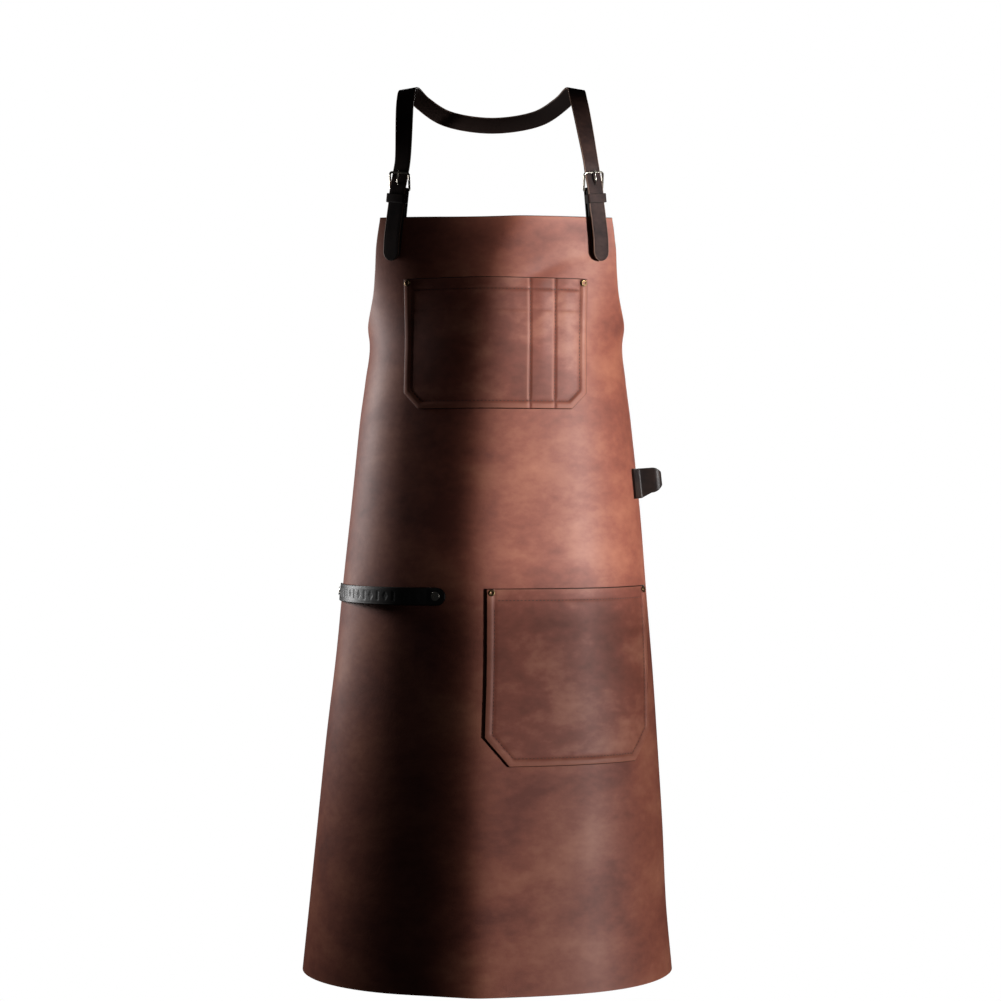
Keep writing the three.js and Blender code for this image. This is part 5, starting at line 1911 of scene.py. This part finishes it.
@dataclass
class Studio:
    """The camera, the lights, the white surround and the pale floor."""

    image_px: float = 1001
    focal_px: float = 2094.6
    sensor_mm: float = 36
    camera_x: float = 4.4
    camera_y: float = -2477
    camera_z: float = -425.5
    tilt_deg: float = 0.386
    yaw_deg: float = 0.123
    floor_z: float = -1450
    floor_half: float = 1500
    key_turn: float = 50  # the key light stands this far to the right of the front
    key_away: float = 0.8
    key_aside: float = -0.025
    key_width: float = 0.285
    key_roll: float = -4.4

    def camera(self) -> None:
        """Makes the camera from the photograph's focal length in pixels."""
        data = bpy.data.cameras.new("camera")
        data.sensor_width = self.sensor_mm
        data.lens = self.focal_px / self.image_px * self.sensor_mm
        data.clip_end = 50
        made = bpy.data.objects.new("camera", data)
        made.location = Vector((self.camera_x, self.camera_y, self.camera_z)) * MM
        made.rotation_euler = (math.radians(90 - self.tilt_deg), 0, -math.radians(self.yaw_deg))
        bpy.context.collection.objects.link(made)
        bpy.context.scene.camera = made

    def hang(self, box: Softbox) -> None:
        """Hangs a softbox in the row's frame."""
        data = bpy.data.lights.new(box.name, "AREA")
        data.shape = "RECTANGLE"
        data.size, data.size_y = box.size
        data.energy = box.watts
        data.spread = math.radians(box.spread)
        made = bpy.data.objects.new(box.name, data)
        made.location = box.place
        turned = (box.aim - box.place).to_track_quat("-Z", "Y") @ Quaternion((0, 0, 1), math.radians(box.roll))
        made.rotation_euler = turned.to_euler()
        bpy.context.collection.objects.link(made)

    def key_light(self) -> list[Softbox]:
        """Gives the key light's parts as softboxes, each in line with the first."""
        turn = math.radians(self.key_turn)
        across = Vector((math.cos(turn), math.sin(turn), 0))
        ahead = Vector((-math.sin(turn), math.cos(turn), 0))
        boxes = []
        for part in KEY_PARTS:
            rise = KEY_PARTS[0].level - part.level
            aside = self.key_aside + rise * math.tan(math.radians(self.key_roll))
            aim = aside * across + Vector((0, 0, part.level))
            boxes.append(Softbox(part.name, aim - self.key_away * ahead, aim, (self.key_width, part.height),
                                 part.watts, part.spread, self.key_roll))
        return boxes

    def surround(self) -> None:
        """Makes the surround: white to look at, and only a faint fill light on the leather."""
        world = bpy.data.worlds.new("white_surround")
        world.use_nodes = True
        tree = world.node_tree
        tree.nodes.clear()
        seen = add_node(tree, "ShaderNodeLightPath")
        fill = add_node(tree, "ShaderNodeBackground", {"Color": linear("e8ecf2"), "Strength": 0.013})
        white = add_node(tree, "ShaderNodeBackground", {"Color": linear("ffffff"), "Strength": 1.0})
        mixed = add_node(tree, "ShaderNodeMixShader", links={
            0: seen.outputs["Is Camera Ray"], 1: fill.outputs["Background"], 2: white.outputs["Background"],
        })
        add_node(tree, "ShaderNodeOutputWorld", links={"Surface": mixed.outputs["Shader"]})
        bpy.context.scene.world = world
        bpy.context.scene.view_settings.view_transform = "Standard"

    def floor(self) -> None:
        """Lays a pale floor, below what the photograph shows."""
        half, z = self.floor_half * MM, self.floor_z * MM
        mesh = bpy.data.meshes.new("floor")
        corners = [(-half, -half, z), (half, -half, z), (half, half, z), (-half, half, z)]
        mesh.from_pydata(corners, [], [(0, 1, 2, 3)])
        material, tree, output = new_material("matt_white_paper")
        paper = {"Base Color": linear("e9e7e4"), "Roughness": 0.9}
        shader = add_node(tree, "ShaderNodeBsdfPrincipled", paper)
        tree.links.new(shader.outputs["BSDF"], output.inputs["Surface"])
        mesh.materials.append(material)
        made = bpy.data.objects.new("floor", mesh)
        made.visible_diffuse = False
        made.visible_glossy = False
        bpy.context.collection.objects.link(made)

    def build(self) -> None:
        """Sets up the studio."""
        self.camera()
        self.surround()
        self.floor()
        for box in (*self.key_light(), *SOFTBOXES):
            self.hang(box)


def build_pockets(finishes: Finishes) -> None:
    """Builds both patch pockets with their stitches and rivets.

    Args:
        finishes: The apron's finishes.
    """
    inset = 5
    pockets = {
        "chest": PatchPocket("chest_patch", "chest_pocket", finishes, left=-103, top=67.5, height=144,
                             corner_width=18, corner_height=18, seams=(37, 64.5), gapes=(3.2, 0.9, 0.9),
                             facing=36),
        "hip": PatchPocket("hip_patch", "hip_pocket", finishes, left=-8.5, top=407, height=192,
                           corner_width=28, corner_height=32, seams=(), gapes=(3.0,), hem_groove=0.4),
    }
    for word, pocket in pockets.items():
        pocket.build()
        stack = WORN.leather + pocket.lay_gap + 2 * pocket.leather
        arcs = {"left": pocket.left + inset, "right": pocket.left + pocket.width - inset}
        for side, arc in arcs.items():
            Rivet(f"{word}_corner_rivet_{side}", f"{word}_rivet_{side}", stack,
                  WORN.frame_on(arc, pocket.top + inset, 0), finishes.brass).build()


def main() -> None:
    """Builds the apron piece by piece, then the studio."""
    logging.basicConfig(level=logging.INFO, format="%(name)s: %(message)s")
    finishes = Finishes().make()
    held_by = NeckGear(finishes).build()
    HidePanel(finishes).build(held_by)
    build_pockets(finishes)
    TowelStrap(finishes).build()
    SideLoop(finishes).build()
    WaistBand(finishes).build()
    Studio().build()


if __name__ == "__main__":
    main()
